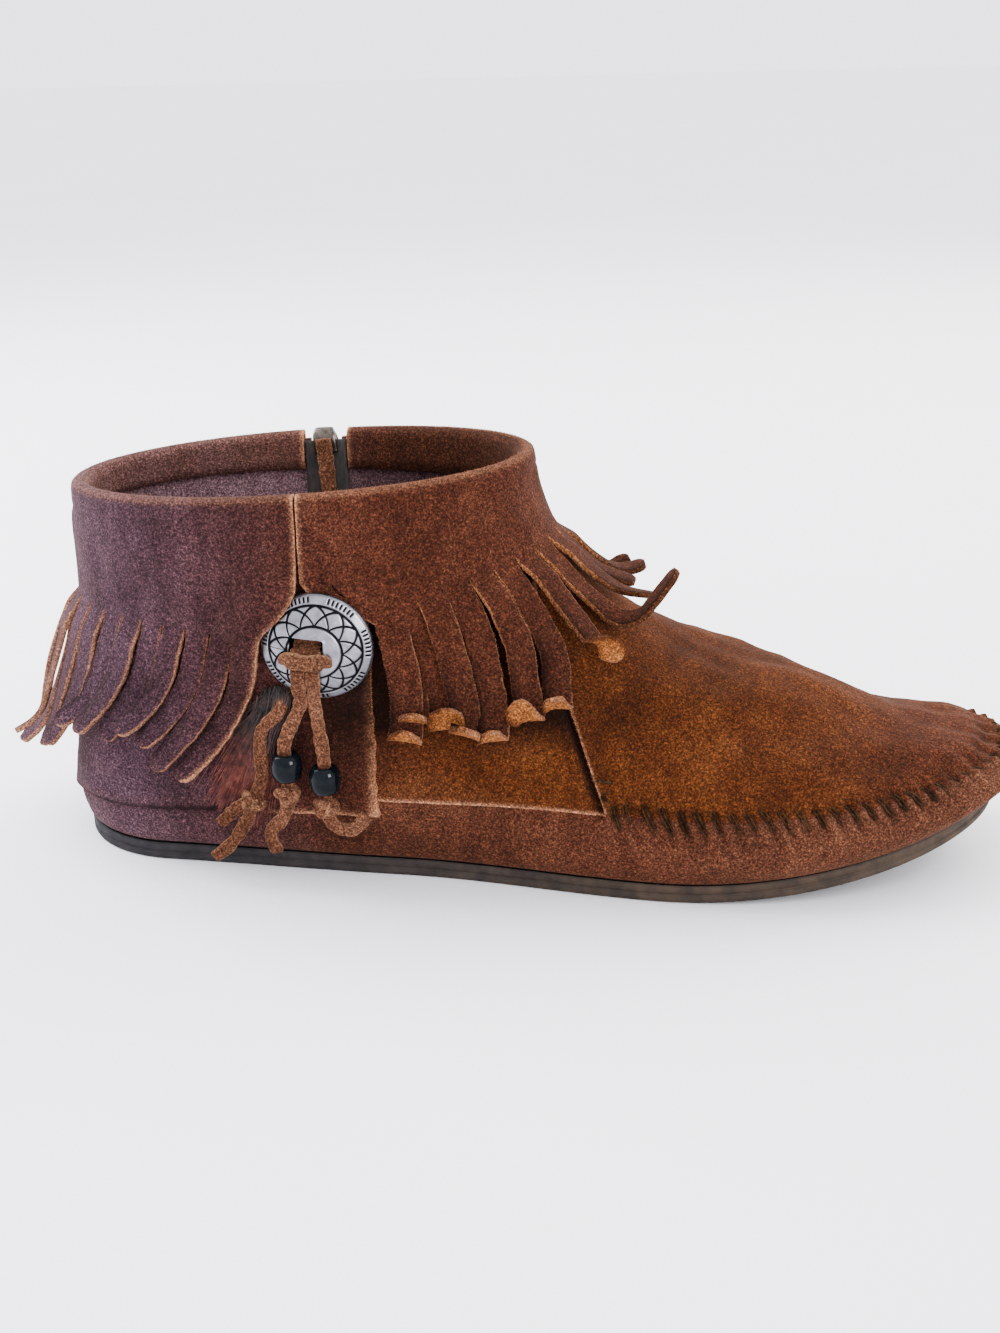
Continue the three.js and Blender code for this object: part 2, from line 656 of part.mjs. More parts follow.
function bead(center) {
  const radius = beadWidth / 2;
  const profile = [];
  for (let i = 0; i <= 4; i++) {
    const angle = lerp(-0.36, 0.36, i / 4) * Math.PI;
    const share = Math.sin(angle) / Math.sin(0.36 * Math.PI);
    profile.push(new THREE.Vector2(radius * Math.cos(angle), beadHeight / 2 * share));
  }
  profile[0].x = beadBore / 2 + 0.3;
  profile[4].x = beadBore / 2 + 0.3;
  profile.push(new THREE.Vector2(beadBore / 2, beadHeight / 2 - 0.3));
  profile.push(new THREE.Vector2(beadBore / 2, 0.3 - beadHeight / 2), profile[0].clone());
  const geometry = new THREE.LatheGeometry(profile, 16).rotateX(Math.PI / 2);
  if (toManifold(geometry).volume() < 0) geometry.index.array.reverse();
  return geometry.translate(center.x, center.y, center.z);
}

// A leaf on the outer side, from root to tip [x, z], standing off the skin.
function feather(root, tip, width, stand) {
  const steps = 7;
  const along = new THREE.Vector2(...tip).sub(new THREE.Vector2(...root));
  const across = new THREE.Vector2(-along.y, along.x).normalize();
  return sheetGeometry({
    rows: steps + 1,
    columns: 3,
    face: (r, c, outside) => {
      const share = r / steps;
      const swell = width / 2 * (0.16 + 0.84 * Math.sin(Math.PI * share ** 1.3) ** 0.8);
      const spot = new THREE.Vector2(...tip).addScaledVector(along, -share);
      spot.addScaledVector(across, (c - 1) * swell);
      const level = levelAt(spot.x, spot.y, true);
      const drop = c === 1 ? 0 : 0.4;
      const out = stand - drop + (outside ? featherThickness : 0);
      return skinOffset(level, angleAtX(level, spot.x, true), out);
    },
  });
}

// Zip: a patch of the inner face round zipX, between two levels.
function zipPatch(halfSpan, from, to, inside, outside, rows) {
  return sheetGeometry({
    rows,
    columns: 3,
    face: (r, c, outer) => {
      const v = lerp(from, to, r / (rows - 1));
      const phi = angleAtX(v, zipX - (c - 1) * halfSpan, false);
      return skinOffset(v, phi, outer ? outside : inside);
    },
  });
}

// The slider: a strap over the zip's top end, one leg outside the tape and one inside.
const zipTop = skinFrame(rimLevel, angleAtX(rimLevel, zipX, false));
function overZip(out, up) {
  const climb = zipTop.up.clone().normalize();
  return zipTop.point.clone().addScaledVector(zipTop.normal, out).addScaledVector(climb, up);
}
function zipSlider() {
  const [outer, inner] = [tapeOut + gap + sliderPlate / 2, tapeIn - gap - sliderPlate / 2];
  const path = [[outer, -8], [outer, -4], [outer, 0.6], [(outer + inner) / 2, 2.4], [inner, 0.6],
    [inner, -4]];
  const points = path.map(([out, up]) => [overZip(out, up), sliderWidth, sliderPlate]);
  return strap(points, { across: zipTop.around.clone().normalize() });
}
function zipPull() {
  const inner = tapeIn - 2 * gap - sliderPlate - pullThickness / 2;
  const path = [[inner, 0.5], [inner - 0.4, -6], [inner - 2, -14], [inner - 3, -23], [inner - 3, -32],
    [inner - 4, -pullLength]];
  const points = path.map(([out, up]) => [overZip(out, up), pullWidth, pullThickness]);
  return strap(points, { across: zipTop.around.clone().normalize() });
}

const boot = new THREE.Group();
boot.position.x = -soleLength / 2;
const colors = { suede: 0x6b3a22, rubber: 0x2a221b, metal: 0xb9bcc0, bead: 0x0b0b0c,
  feather: 0x7a2c18, tape: 0x241c18, lace: 0x7d4326 };
function add(name, geometry, finish) {
  const metal = finish === 'metal' ? 1 : 0;
  const rough = { metal: 0.35, bead: 0.12, rubber: 0.7 }[finish] ?? 0.95;
  const material = new THREE.MeshStandardMaterial({
    color: colors[finish], roughness: rough, metalness: metal,
  });
  const mesh = new THREE.Mesh(geometry, material);
  mesh.name = name;
  boot.add(mesh);
}

add('outsole', outsole(), 'rubber');
add('insole', insole(), 'suede');
add('upper', lighten(upper(), 0.12), 'suede');
add('cuff_front', lighten(cuff(frontSide), 0.07), 'suede');
add('cuff_rear', lighten(cuff(rearSide), 0.07), 'suede');

const beadFront = new THREE.Vector3(beadFrontX, -beadReach, beadFrontHeight);
const beadRear = new THREE.Vector3(beadRearX, -beadReach, beadRearHeight);
const below = (bead, ...offset) => bead.clone().add(new THREE.Vector3(...offset));
add('concho', concho(), 'metal');
add('concho_lace', conchoLace(), 'lace');
add('bead_front', bead(beadFront), 'bead');
add('bead_rear', bead(beadRear), 'bead');
add('lace_front', laceLeg(1, beadFront, 8.2, [below(beadFront, 1.7, 0.5, -13.1),
  below(beadFront, 6.2, 1.5, -14.4), below(beadFront, 9.7, 3, -11.1)]), 'lace');
add('lace_rear', laceLeg(-1, beadRear, 8.2, [below(beadRear, -2.1, 1, -14.6),
  below(beadRear, -6.1, 2, -19.6), below(beadRear, -5.1, 3, -25.6)]), 'lace');
add('lace_long', longLace(), 'lace');
add('feather_front', feather([66, 51], [57, 20], 9, 2 * suede + 1.8), 'feather');
add('feather_rear', feather([62, 50], [48, 24], 10, 2 * suede + 0.6), 'feather');
add('zip_tape', zipPatch(tapeWidth / 2, zipFootLevel - 0.3, 12.9, tapeIn, tapeOut, 14), 'tape');
add('zip_teeth', zipPatch(teethWidth / 2, zipFootLevel + 0.1, 11.6, tapeOut + gap,
  tapeOut + gap + teethRise, 12), 'metal');
add('zip_slider', zipSlider(), 'metal');
add('zip_pull', zipPull(), 'lace');

export default boot;
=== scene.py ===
# A fringed suede moccasin boot on a pale floor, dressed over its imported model.
import math

import bpy
import numpy as np
from mathutils import Matrix, Vector


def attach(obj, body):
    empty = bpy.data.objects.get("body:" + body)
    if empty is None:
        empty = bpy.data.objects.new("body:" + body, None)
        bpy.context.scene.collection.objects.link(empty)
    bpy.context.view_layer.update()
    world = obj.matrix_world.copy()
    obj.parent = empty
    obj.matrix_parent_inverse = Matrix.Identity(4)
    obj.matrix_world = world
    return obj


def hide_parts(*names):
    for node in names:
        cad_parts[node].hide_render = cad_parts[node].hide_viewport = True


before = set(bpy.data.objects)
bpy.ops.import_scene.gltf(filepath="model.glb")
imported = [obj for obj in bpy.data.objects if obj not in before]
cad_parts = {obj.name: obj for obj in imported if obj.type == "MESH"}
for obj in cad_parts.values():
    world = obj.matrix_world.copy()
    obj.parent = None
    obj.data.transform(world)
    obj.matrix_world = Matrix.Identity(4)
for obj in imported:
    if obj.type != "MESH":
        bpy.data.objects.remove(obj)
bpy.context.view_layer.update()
TURN = 2 * math.pi
MM = 0.001

# Camera, fitted to the photograph
YAW, PITCH, ROLL = 0.158, 0.359, 0.025
FOCAL_PIXELS, PICTURE_HEIGHT, SENSOR = 1601.4, 1333, 36
EYE = Vector((55.2, -399.5, 199.4)) * MM


def placed_object(name, data):
    thing = bpy.data.objects.new(name, data)
    bpy.context.scene.collection.objects.link(thing)
    return thing


def add_camera():
    forward = Vector((-math.sin(YAW) * math.cos(PITCH), math.cos(YAW) * math.cos(PITCH),
                      -math.sin(PITCH)))
    right = Vector((math.cos(YAW), math.sin(YAW), 0))
    down = forward.cross(right)
    across = math.cos(ROLL) * right + math.sin(ROLL) * down
    below = -math.sin(ROLL) * right + math.cos(ROLL) * down
    data = bpy.data.cameras.new("camera")
    data.sensor_fit = "AUTO"
    data.sensor_width = SENSOR
    data.lens = FOCAL_PIXELS / PICTURE_HEIGHT * SENSOR
    data.clip_start = 0.01
    camera = placed_object("camera", data)
    turn = Matrix((across, -below, -forward)).transposed().to_4x4()
    camera.matrix_world = Matrix.Translation(EYE) @ turn
    bpy.context.scene.camera = camera


add_camera()

# Sizes of the last, in millimetres, as in the part
SOLE_LENGTH, BALL_WIDTH, HEEL_WIDTH = 250, 84, 62
HEEL_OVERHANG, TOE_OVERHANG = 4.5, 5.5
COLLAR_HEIGHT, COLLAR_FRONT_HEIGHT = 98, 105
COLLAR_LENGTH, COLLAR_WIDTH, COLLAR_SETBACK = 120, 79, 5
TOE_SPRING, SPRING_SHARE, MEDIAL_BOW = 15.5, 0.64, 4
SOLE_THICKNESS, SOLE_MARGIN = 4.8, 1.2
INSOLE_THICKNESS, INSOLE_INSET = 3, 1.2
WALL, SUEDE, SEAM_RIDGE, GAP = 1.4, 0.8, 1.3, 0.3
REAR_PANEL_X, PLUG_FOOT_X, PLUG_TOP_X, PLUG_TOP = 90, 149, 128, 11
CUFF_THICKNESS, CUFF_GAP, CUFF_SEAM_X = 1.4, 0.45, 74
WINDOW_FRONT_X, WINDOW_REAR_X, SEAM_TOP_LEVEL = 93.5, 64, 11.15
STRIP_PITCH, STRIP_CUT, STRIP_TAPER = 7, 0.7, 0.12
FRONT_STRIP_LENGTH, REAR_STRIP_LENGTH = 41, 50
ZIP_X, ZIP_SLOT, CUFF_ZIP_GAP = 62, 9, 13
TAPE_WIDTH, TOOTH_PITCH, SLIDER_PLATE = 12.2, 0.95, 1.6
PULL_WIDTH, PULL_THICKNESS = 4.4, 1.6
CONCHO_X, CONCHO_HEIGHT, CONCHO_STAND = 77.5, 67, 2.1
CONCHO_RADIUS, CONCHO_DOME, CONCHO_PLATE = 14, 4.2, 1.2
SLOT_WIDTH, SLOT_HEIGHT, SLOT_SPOT = 8.6, 5.4, (-2, 1)
LACE_WIDTH, LACE_THICKNESS, KNOT_SIZE = 3.4, 1.8, 6.4
BEAD_WIDTH, BEAD_HEIGHT, BEAD_BORE = 8, 7.4, 3.8
BEAD_FRONT = np.array([78.3, -44, 32.6])
BEAD_REAR = np.array([68.6, -44, 35.6])
STITCH, THREAD_WIDTH, FIBRE_WIDTH = 4.2, 0.6, 0.13

# The upper's levels from sole to rim, each with its rise, outline and widths
COLUMNS = ["rise", "front_rise", "back", "shaft", "front", "lift", "heel", "waist_out",
           "waist_in", "ball_out", "ball_in", "heel_cap", "toe_cap"]
SECTIONS = np.array([
    [0.000, 0.000, -2.0, 0.00, 0.835, 0.00, 0.64, 0.52, 0.41, 0.71, 0.69, 0.12, 0.30],
    [0.000, 0.000, 0.10, 0.00, 0.930, 0.00, 0.92, 0.74, 0.61, 0.94, 0.92, 0.12, 0.30],
    [0.042, 0.025, 0.80, 0.00, 0.982, 0.00, 1.00, 0.82, 0.70, 1.01, 0.98, 0.13, 0.30],
    [0.085, 0.058, 1.00, 0.00, 1.000, 0.02, 1.03, 0.86, 0.75, 1.04, 1.01, 0.14, 0.31],
    [0.120, 0.104, 1.00, 0.00, 0.958, 0.09, 1.03, 0.88, 0.78, 1.00, 0.98, 0.15, 0.32],
    [0.236, 0.137, 0.80, 0.02, 0.928, 0.10, 1.02, 0.88, 0.80, 0.95, 0.93, 0.16, 0.34],
    [0.354, 0.174, 0.60, 0.04, 0.880, 0.11, 1.00, 0.88, 0.82, 0.85, 0.83, 0.18, 0.36],
    [0.462, 0.246, 0.40, 0.08, 0.758, 0.11, 0.98, 0.88, 0.83, 0.76, 0.74, 0.20, 0.38],
    [0.570, 0.396, 0.20, 0.15, 0.560, 0.07, 0.98, 0.88, 0.84, 0.74, 0.73, 0.24, 0.42],
    [0.677, 0.497, 0.10, 0.35, 0.360, 0.04, 1.00, 0.89, 0.86, 0.76, 0.75, 0.32, 0.46],
    [0.774, 0.610, 0.00, 0.65, 0.188, 0.01, 1.10, 0.90, 0.88, 0.82, 0.81, 0.42, 0.49],
    [0.860, 0.735, 0.00, 0.90, 0.077, 0.00, 1.20, 0.92, 0.92, 0.92, 0.92, 0.49, 0.50],
    [0.930, 0.890, 0.00, 1.00, 0.018, 0.00, 1.20, 0.92, 0.92, 0.92, 0.92, 0.50, 0.50],
    [1.000, 1.000, 0.00, 1.00, 0.000, 0.00, 1.20, 0.92, 0.92, 0.92, 0.92, 0.50, 0.50],
])
SEAM, RIM = 4, len(SECTIONS) - 1
REAR_LAP = SEAM - 0.4
ZIP_FOOT = SEAM + 1
# Levels just under the two laps, where their cut edges begin
UNDER_LAP, UNDER_SEAM = REAR_LAP - 0.04, SEAM - 0.01
# Levels between which the laps' second layers thin out under the cuffs
THINNING = (7.6, 9.2)
WINDOW_FRONT_FOOT, WINDOW_REAR_FOOT = 9.9, 9.2
BED = SOLE_THICKNESS + GAP


def lerp(a, b, t):
    return a + (b - a) * t


def smoothstep(x, low, high):
    t = np.clip((x - low) / (high - low), 0, 1)
    return t * t * (3 - 2 * t)


def bell(x, middle, width):
    return np.exp(-((x - middle) / width) ** 2)


def unit(vectors):
    return vectors / (np.linalg.norm(vectors, axis=-1, keepdims=True) + 1e-12)


def run_along(points):
    # Length along a line of points, up to each of them.
    return np.concatenate([[0], np.cumsum(np.linalg.norm(np.diff(points, axis=0), axis=1))])


def at_run(rows, run, at):
    # The points of a line at some lengths along it.
    return np.stack([np.interp(at, run, rows[:, k]) for k in range(3)], 1)


def catmull(a, b, c, d, f):
    return b + 0.5 * f * (c - a + f * (2 * a - 5 * b + 4 * c - d + f * (3 * (b - c) + d - a)))


def toe_lift(x):
    start = SPRING_SHARE * SOLE_LENGTH
    return TOE_SPRING * np.clip((x - start) / (SOLE_LENGTH - start), 0, 1.1) ** 2


def section_at(v):
    at = np.clip(np.asarray(v, float), 0, RIM)
    i = np.minimum(np.floor(at).astype(int), RIM - 1)
    rows = catmull(SECTIONS[np.clip(i - 1, 0, RIM)], SECTIONS[i], SECTIONS[i + 1],
                   SECTIONS[np.clip(i + 2, 0, RIM)], (at - i)[..., None])
    s = {name: rows[..., k] for k, name in enumerate(COLUMNS)}
    s["rise"] = np.maximum(0, s["rise"])
    s["front_rise"] = np.maximum(0, s["front_rise"])
    s["heel_x"] = lerp(-HEEL_OVERHANG * s["back"], COLLAR_SETBACK, np.clip(s["rise"], 0, 1))
    front_x = lerp(COLLAR_SETBACK + COLLAR_LENGTH, SOLE_LENGTH + TOE_OVERHANG, s["front"])
    s["length"] = front_x - s["heel_x"]
    return s


def round_end(share):
    return np.sqrt(np.maximum(0, 1 - (1 - np.minimum(1, share)) ** 2))


def skin_point(v, phi):
    # The upper's outside at level v and angle phi, which runs from the heel by the outer side.
    v, phi = np.broadcast_arrays(np.asarray(v, float), np.asarray(phi, float))
    s = section_at(v)
    q = (1 - np.cos(phi)) / 2
    x = s["heel_x"] + s["length"] * q
    outer = np.sin(phi) >= 0
    foot = BALL_WIDTH / 2
    waist = foot * np.where(outer, s["waist_out"], s["waist_in"])
    ball = foot * np.where(outer, s["ball_out"], s["ball_in"])
    half = lerp(s["heel"] * HEEL_WIDTH / 2, waist, smoothstep(q, 0.08, 0.4))
    half = lerp(lerp(half, ball, smoothstep(q, 0.38, 0.7)), COLLAR_WIDTH / 2, s["shaft"])
    y = half * round_end(q / s["heel_cap"]) * round_end((1 - q) / s["toe_cap"])
    heel_z = lerp(BED, COLLAR_HEIGHT, s["rise"])
    front_z = lerp(BED, COLLAR_FRONT_HEIGHT, s["front_rise"])
    z = lerp(heel_z, front_z, q) + s["lift"] * COLLAR_HEIGHT * 4 * q * (1 - q)
    bow = MEDIAL_BOW * np.clip((x / SOLE_LENGTH - 0.4) / 0.6, 0, 1.1) ** 2
    return np.stack([x, np.where(outer, -y, y) + bow, z + toe_lift(x)], -1)


def skin_frame(v, phi):
    # The point there, how it moves with phi and with v, and the way out of the leather.
    h = 0.02
    v = np.asarray(v, float)
    low, high = np.maximum(0, v - h), np.minimum(RIM, v + h)
    around = (skin_point(v, phi + h) - skin_point(v, phi - h)) / (2 * h)
    up = (skin_point(high, phi) - skin_point(low, phi)) / (high - low)[..., None]
    return skin_point(v, phi), around, up, unit(np.cross(around, up))


def skin_offset(v, phi, distance):
    point, _, _, normal = skin_frame(v, phi)
    return point + normal * np.asarray(distance)[..., None]


def skin_speed(v, phi):
    return np.linalg.norm(skin_frame(v, phi)[1], axis=-1)


def angle_at_x(v, x, outer):
    s = section_at(v)
    q = np.clip((x - s["heel_x"]) / s["length"], 0.02, 0.965)
    phi = np.arccos(1 - 2 * q)
    return phi if outer else TURN - phi


def level_at(x, z, outer):
    low, high = 2.0, float(RIM)
    for _ in range(30):
        middle = (low + high) / 2
        if skin_point(middle, angle_at_x(middle, x, outer))[2] < z:
            low = middle
        else:
            high = middle
    return low


def frame_at_x(v, x, outer):
    return skin_frame(v, angle_at_x(v, x, outer))


def waves(points, scale, seed, count=14):
    # Smooth noise of about unit size, from plane waves of random direction and phase.
    random = np.random.default_rng(seed)
    total = np.zeros(points.shape[:-1])
    for _ in range(count):
        direction = unit(random.normal(size=3)) * TURN / scale * random.uniform(0.6, 1.5)
        total += np.sin(points @ direction + random.uniform(0, TURN))
    return total / math.sqrt(count / 2)


# Meshes
def in_frame(points):
    # Points in the part's millimetres as metres about the middle of the sole.
    return (np.asarray(points, float).reshape(-1, 3) - [SOLE_LENGTH / 2, 0, 0]) * MM


def make_mesh(name, points, faces, materials, picks=None, smooth=True, fields=None):
    mesh = bpy.data.meshes.new(name)
    mesh.from_pydata(in_frame(points).tolist(), [], [list(map(int, f)) for f in faces])
    for material in materials:
        mesh.materials.append(material)
    if picks is not None:
        mesh.polygons.foreach_set("material_index", np.asarray(picks, dtype=np.int32))
    mesh.polygons.foreach_set("use_smooth", [smooth] * len(mesh.polygons))
    for key, values in (fields or {}).items():
        layer = mesh.attributes.new(key, "FLOAT", "POINT")
        layer.data.foreach_set("value", np.asarray(values, dtype=np.float32).ravel())
    mesh.update()
    return placed_object(name, mesh)


def seat(piece, node=None):
    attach(piece, "root")
    if node:
        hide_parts(node)
    return piece


def dress(name, points, faces, material, slot, node=None, smooth=True, **fields):
    return seat(make_mesh(name, points, faces, [material], smooth=smooth, fields=fields), node)


def sheet(name, outer, inner, materials, filled=None, closed=False, fields=None, picks=None,
          front=True, back=True):
    # A leather sheet on a grid of outer and inner points. Its materials are the front's, the
    # back's and the cut edges'; picks gives the front's cells another one in places.
    rows, columns = outer.shape[:2]
    if filled is None:
        filled = np.ones((rows - 1, columns if closed else columns - 1), bool)
    index = np.arange(rows * columns).reshape(rows, columns)
    here, right = (index, np.roll(index, -1, 1)) if closed else (index[:, :-1], index[:, 1:])
    a, b, c, d = here[:-1], right[:-1], right[1:], here[1:]
    shift = rows * columns
    faces, kinds = [], []
    if front:
        faces.append(np.stack([a[filled], b[filled], c[filled], d[filled]], 1))
        kinds.append(np.zeros(filled.sum()) if picks is None else picks[filled])
    if back:
        faces.append(np.stack([a[filled], d[filled], c[filled], b[filled]], 1) + shift)
        kinds.append(np.ones(filled.sum()))
    around = np.pad(filled, 1)
    if closed:
        around[1:-1, 0], around[1:-1, -1] = filled[:, -1], filled[:, 0]
    for beside, p, q in ((around[1:-1, 2:], b, c), (around[1:-1, :-2], d, a),
                         (around[2:, 1:-1], c, d), (around[:-2, 1:-1], a, b)):
        cut = filled & ~beside
        if front:
            faces.append(np.stack([p[cut], p[cut] + shift, q[cut] + shift, q[cut]], 1))
            kinds.append(np.full(cut.sum(), 2))
    points = np.concatenate([outer.reshape(-1, 3), inner.reshape(-1, 3)])
    faces = np.concatenate(faces)
    used = np.zeros(len(points), bool)
    used[faces.ravel()] = True
    renumber = np.cumsum(used) - 1
    fields = {k: np.concatenate([f.ravel(), f.ravel()])[used] for k, f in (fields or {}).items()}
    kinds = np.minimum(np.concatenate(kinds), len(materials) - 1)
    return make_mesh(name, points[used], renumber[faces], materials, kinds, fields=fields)


def ring_angles(sides):
    return np.arange(sides) / sides * TURN + TURN / sides / 2


def tube(points, widths, heights, sides, across=None, out=None, roundness=2.6):
    # Points and faces of a strap through centres, closed at both ends.
    points = np.asarray(points, float)
    along = unit(np.gradient(points, axis=0))
    if across is not None:
        side = np.broadcast_to(np.asarray(across, float), points.shape)
        side = unit(side - along * (side * along).sum(-1, keepdims=True))
    else:
        side = unit(np.cross(along, np.broadcast_to(np.asarray(out, float), points.shape)))
    face = np.cross(side, along)
    t = ring_angles(sides)
    c, s = (np.sign(wave) * np.abs(wave) ** (2 / roundness) for wave in (np.cos(t), np.sin(t)))
    widths = np.broadcast_to(widths, len(points))[:, None, None] / 2
    heights = np.broadcast_to(heights, len(points))[:, None, None] / 2
    rings = points[:, None] + side[:, None] * c[None, :, None] * widths \
        + face[:, None] * s[None, :, None] * heights
    faces = []
    for start in range(0, (len(points) - 1) * sides, sides):
        for k in range(sides):
            j = (k + 1) % sides
            faces.append([start + k, start + sides + k, start + sides + j, start + j])
    faces.append(list(range(sides)))
    faces.append([(len(points) - 1) * sides + k for k in reversed(range(sides))])
    return rings.reshape(-1, 3), faces


def joined(parts):
    # One list of points and faces from several.
    points, faces, start = [], [], 0
    for p, f in parts:
        points.append(p)
        faces.extend([[i + start for i in face] for face in f])
        start += len(p)
    return np.concatenate(points), faces


def spline(points, count):
    # A Catmull-Rom curve through the points, evenly spaced.
    p = np.asarray(points, float)
    p = np.vstack([2 * p[0] - p[1], p, 2 * p[-1] - p[-2]])
    t = np.linspace(0, len(p) - 3 - 1e-9, 40 * (len(p) - 3))
    i = t.astype(int)
    dense = catmull(p[i], p[i + 1], p[i + 2], p[i + 3], (t - i)[:, None])
    run = run_along(dense)
    return at_run(dense, run, np.linspace(0, run[-1], count))


# Materials
class Look:
    # A material, with the nodes that give its colour and its relief.
    def __init__(self, name, roughness, metallic=0.0, specular=None):
        self.material = bpy.data.materials.new(name)
        self.material.use_nodes = True
        self.tree = self.material.node_tree
        self.shader = self.tree.nodes["Principled BSDF"]
        self.set("Roughness", roughness)
        self.set("Metallic", metallic)
        if specular is not None:
            self.set("Specular IOR Level", specular)

    def feed(self, socket, value):
        # A number, a colour or another node's output.
        if isinstance(value, (int, float)):
            socket.default_value = value
        elif isinstance(value, tuple):
            socket.default_value = (*value, 1)
        else:
            self.tree.links.new(value, socket)

    def set(self, key, value):
        self.feed(self.shader.inputs[key], value)

    def node(self, kind, **values):
        node = self.tree.nodes.new("ShaderNode" + kind)
        for key, value in values.items():
            self.feed(node.inputs[key.replace("_", " ")], value)
        return node

    def noise(self, scale, detail=3.0, rough=0.6, stretch=None):
        source = self.node("TexCoord").outputs["Object"]
        if stretch:
            mapping = self.node("Mapping", Vector=source)
            mapping.inputs["Scale"].default_value = stretch
            source = mapping.outputs["Vector"]
        texture = self.node("TexNoise", Vector=source, Scale=scale, Detail=detail, Roughness=rough)
        return texture.outputs["Fac"]

    def fact(self, name):
        node = self.node("Attribute")
        node.attribute_name = name
        return node.outputs["Fac"]

    def share(self, source, low, high):
        return self.node("MapRange", Value=source, From_Min=low, From_Max=high).outputs["Result"]

    def ramp(self, source, places, *colours):
        ramp = self.node("ValToRGB", Fac=source)
        elements = ramp.color_ramp.elements
        while len(elements) < len(places):
            elements.new(0.5)
        for element, place, colour in zip(elements, places, colours):
            element.position = place
            element.color = (*colour, 1)
        return ramp.outputs["Color"]

    def mix(self, factor, a, b, mode="MIX"):
        mix = self.node("Mix")
        mix.data_type = "RGBA"
        mix.blend_type = mode
        for key, value in (("Factor", factor), ("A", a), ("B", b)):
            self.feed(mix.inputs[key], value)
        return mix.outputs["Result"]

    def calc(self, operation, *values, clamp=False):
        node = self.node("Math")
        node.operation = operation
        node.use_clamp = clamp
        for socket, value in zip(node.inputs, values):
            self.feed(socket, value)
        return node.outputs["Value"]

    def bump(self, height, strength, distance):
        node = self.node("Bump", Height=height, Strength=strength, Distance=distance)
        self.set("Normal", node.outputs["Normal"])


def suede_material(name, tones, worn_and_lit, warmer=(), sheen=0.05):
    # Brushed leather, from dark to light. The mesh's tint brings in the warmer tones, partly
    # painted light. Its field for wear and painted light brings in the lighter worn tone, for
    # rubbed edges and for painted light, and its shade field darkens it as painted shade.
    look = Look(name, 0.92, specular=0.045)
    grain, fine = look.noise(950, 4, 0.75), look.noise(2100, 3, 0.7)
    broad, brushed = look.noise(38, 3), look.noise(150, 3, 0.6, (1, 1, 0.35))
    tone = look.mix(0.5, look.mix(0.5, broad, brushed), grain)
    places = (0.36, 0.5, 0.64)  # of the dark, middle and light tones in the noise
    colour = look.ramp(tone, places, *tones)
    for half, warm in enumerate(warmer):
        share = look.share(look.fact("tint"), half / 2, half / 2 + 0.5)
        colour = look.mix(share, colour, look.ramp(tone, places, *warm))
    wear = look.fact("wear")
    uneven = look.calc("MULTIPLY", look.calc("SUBTRACT", grain, 0.5), 0.8)
    amount = look.calc("MULTIPLY", look.calc("ADD", wear, uneven), wear, clamp=True)
    colour = look.mix(amount, colour, worn_and_lit)
    darker = look.mix(0.9, colour, tones[0], "MULTIPLY")
    colour = look.mix(look.fact("shade"), colour, darker)
    nap = look.ramp(fine, (0.36, 0.52, 0.66), (0.28, 0.27, 0.26), (0.95, 0.95, 0.95), (2.9, 2.6, 2.3))
    look.set("Base Color", look.mix(0.9, colour, nap, "MULTIPLY"))
    look.set("Sheen Weight", sheen)
    look.set("Sheen Roughness", 0.45)
    look.set("Sheen Tint", (0.85, 0.5, 0.34))
    look.bump(look.mix(0.45, grain, fine), 0.55, 0.0005)
    return look.material


# Tones of the suede, plum at the heel and brown at the front, and of its cut edges. The shift between them
# is partly the leather's colour and partly painted light: a grey-purple sheen at the heel and warm light
# on the front.
SUEDE_REAR = [(0.013, 0.0065, 0.0095), (0.034, 0.0172, 0.026), (0.064, 0.036, 0.051)]
SUEDE_MIDDLE = [(0.014, 0.0038, 0.0021), (0.036, 0.0100, 0.0058), (0.071, 0.0235, 0.0137)]
SUEDE_FRONT = [(0.018, 0.0040, 0.0007), (0.045, 0.0112, 0.0022), (0.086, 0.0255, 0.0052)]
EDGE_REAR = [(0.055, 0.023, 0.018), (0.13, 0.058, 0.043), (0.24, 0.12, 0.088)]
EDGE_FRONT = [(0.085, 0.027, 0.009), (0.19, 0.070, 0.026), (0.32, 0.14, 0.062)]
REVERSE = [(0.10, 0.031, 0.008), (0.21, 0.071, 0.018), (0.32, 0.120, 0.036)]
# The lining's tones are raised, painted light inside the heel; the lining's painted shade darkens it
# towards the front.
LINING = [(0.075, 0.042, 0.050), (0.15, 0.088, 0.102), (0.24, 0.15, 0.165)]
SOCK = [(0.05, 0.022, 0.014), (0.085, 0.038, 0.024), (0.13, 0.062, 0.04)]
LACE = [(0.030, 0.0105, 0.0050), (0.068, 0.026, 0.0135), (0.13, 0.056, 0.031)]
suede = suede_material("suede", SUEDE_REAR, (0.31, 0.14, 0.075), (SUEDE_MIDDLE, SUEDE_FRONT))
cut_edge = suede_material("suede_cut_edge", EDGE_REAR, (0.34, 0.16, 0.085), (EDGE_FRONT,))
reverse = suede_material("suede_reverse", REVERSE, (0.35, 0.155, 0.060))
lining = suede_material("lining", LINING, (0.28, 0.18, 0.18), sheen=0.1)
sock = suede_material("sock", SOCK, (0.15, 0.08, 0.05), sheen=0.1)
lace_suede = suede_material("lace_suede", LACE, (0.30, 0.15, 0.083))


def plain_material(name, roughness, noise, places, dark, light, relief=None, **levels):
    # Two tones mixed by noise; relief is its own noise, with strength and distance.
    look = Look(name, roughness, **levels)
    look.set("Base Color", look.ramp(look.noise(*noise), places, dark, light))
    if relief:
        look.bump(look.noise(*relief[0]), *relief[1:])
    return look.material


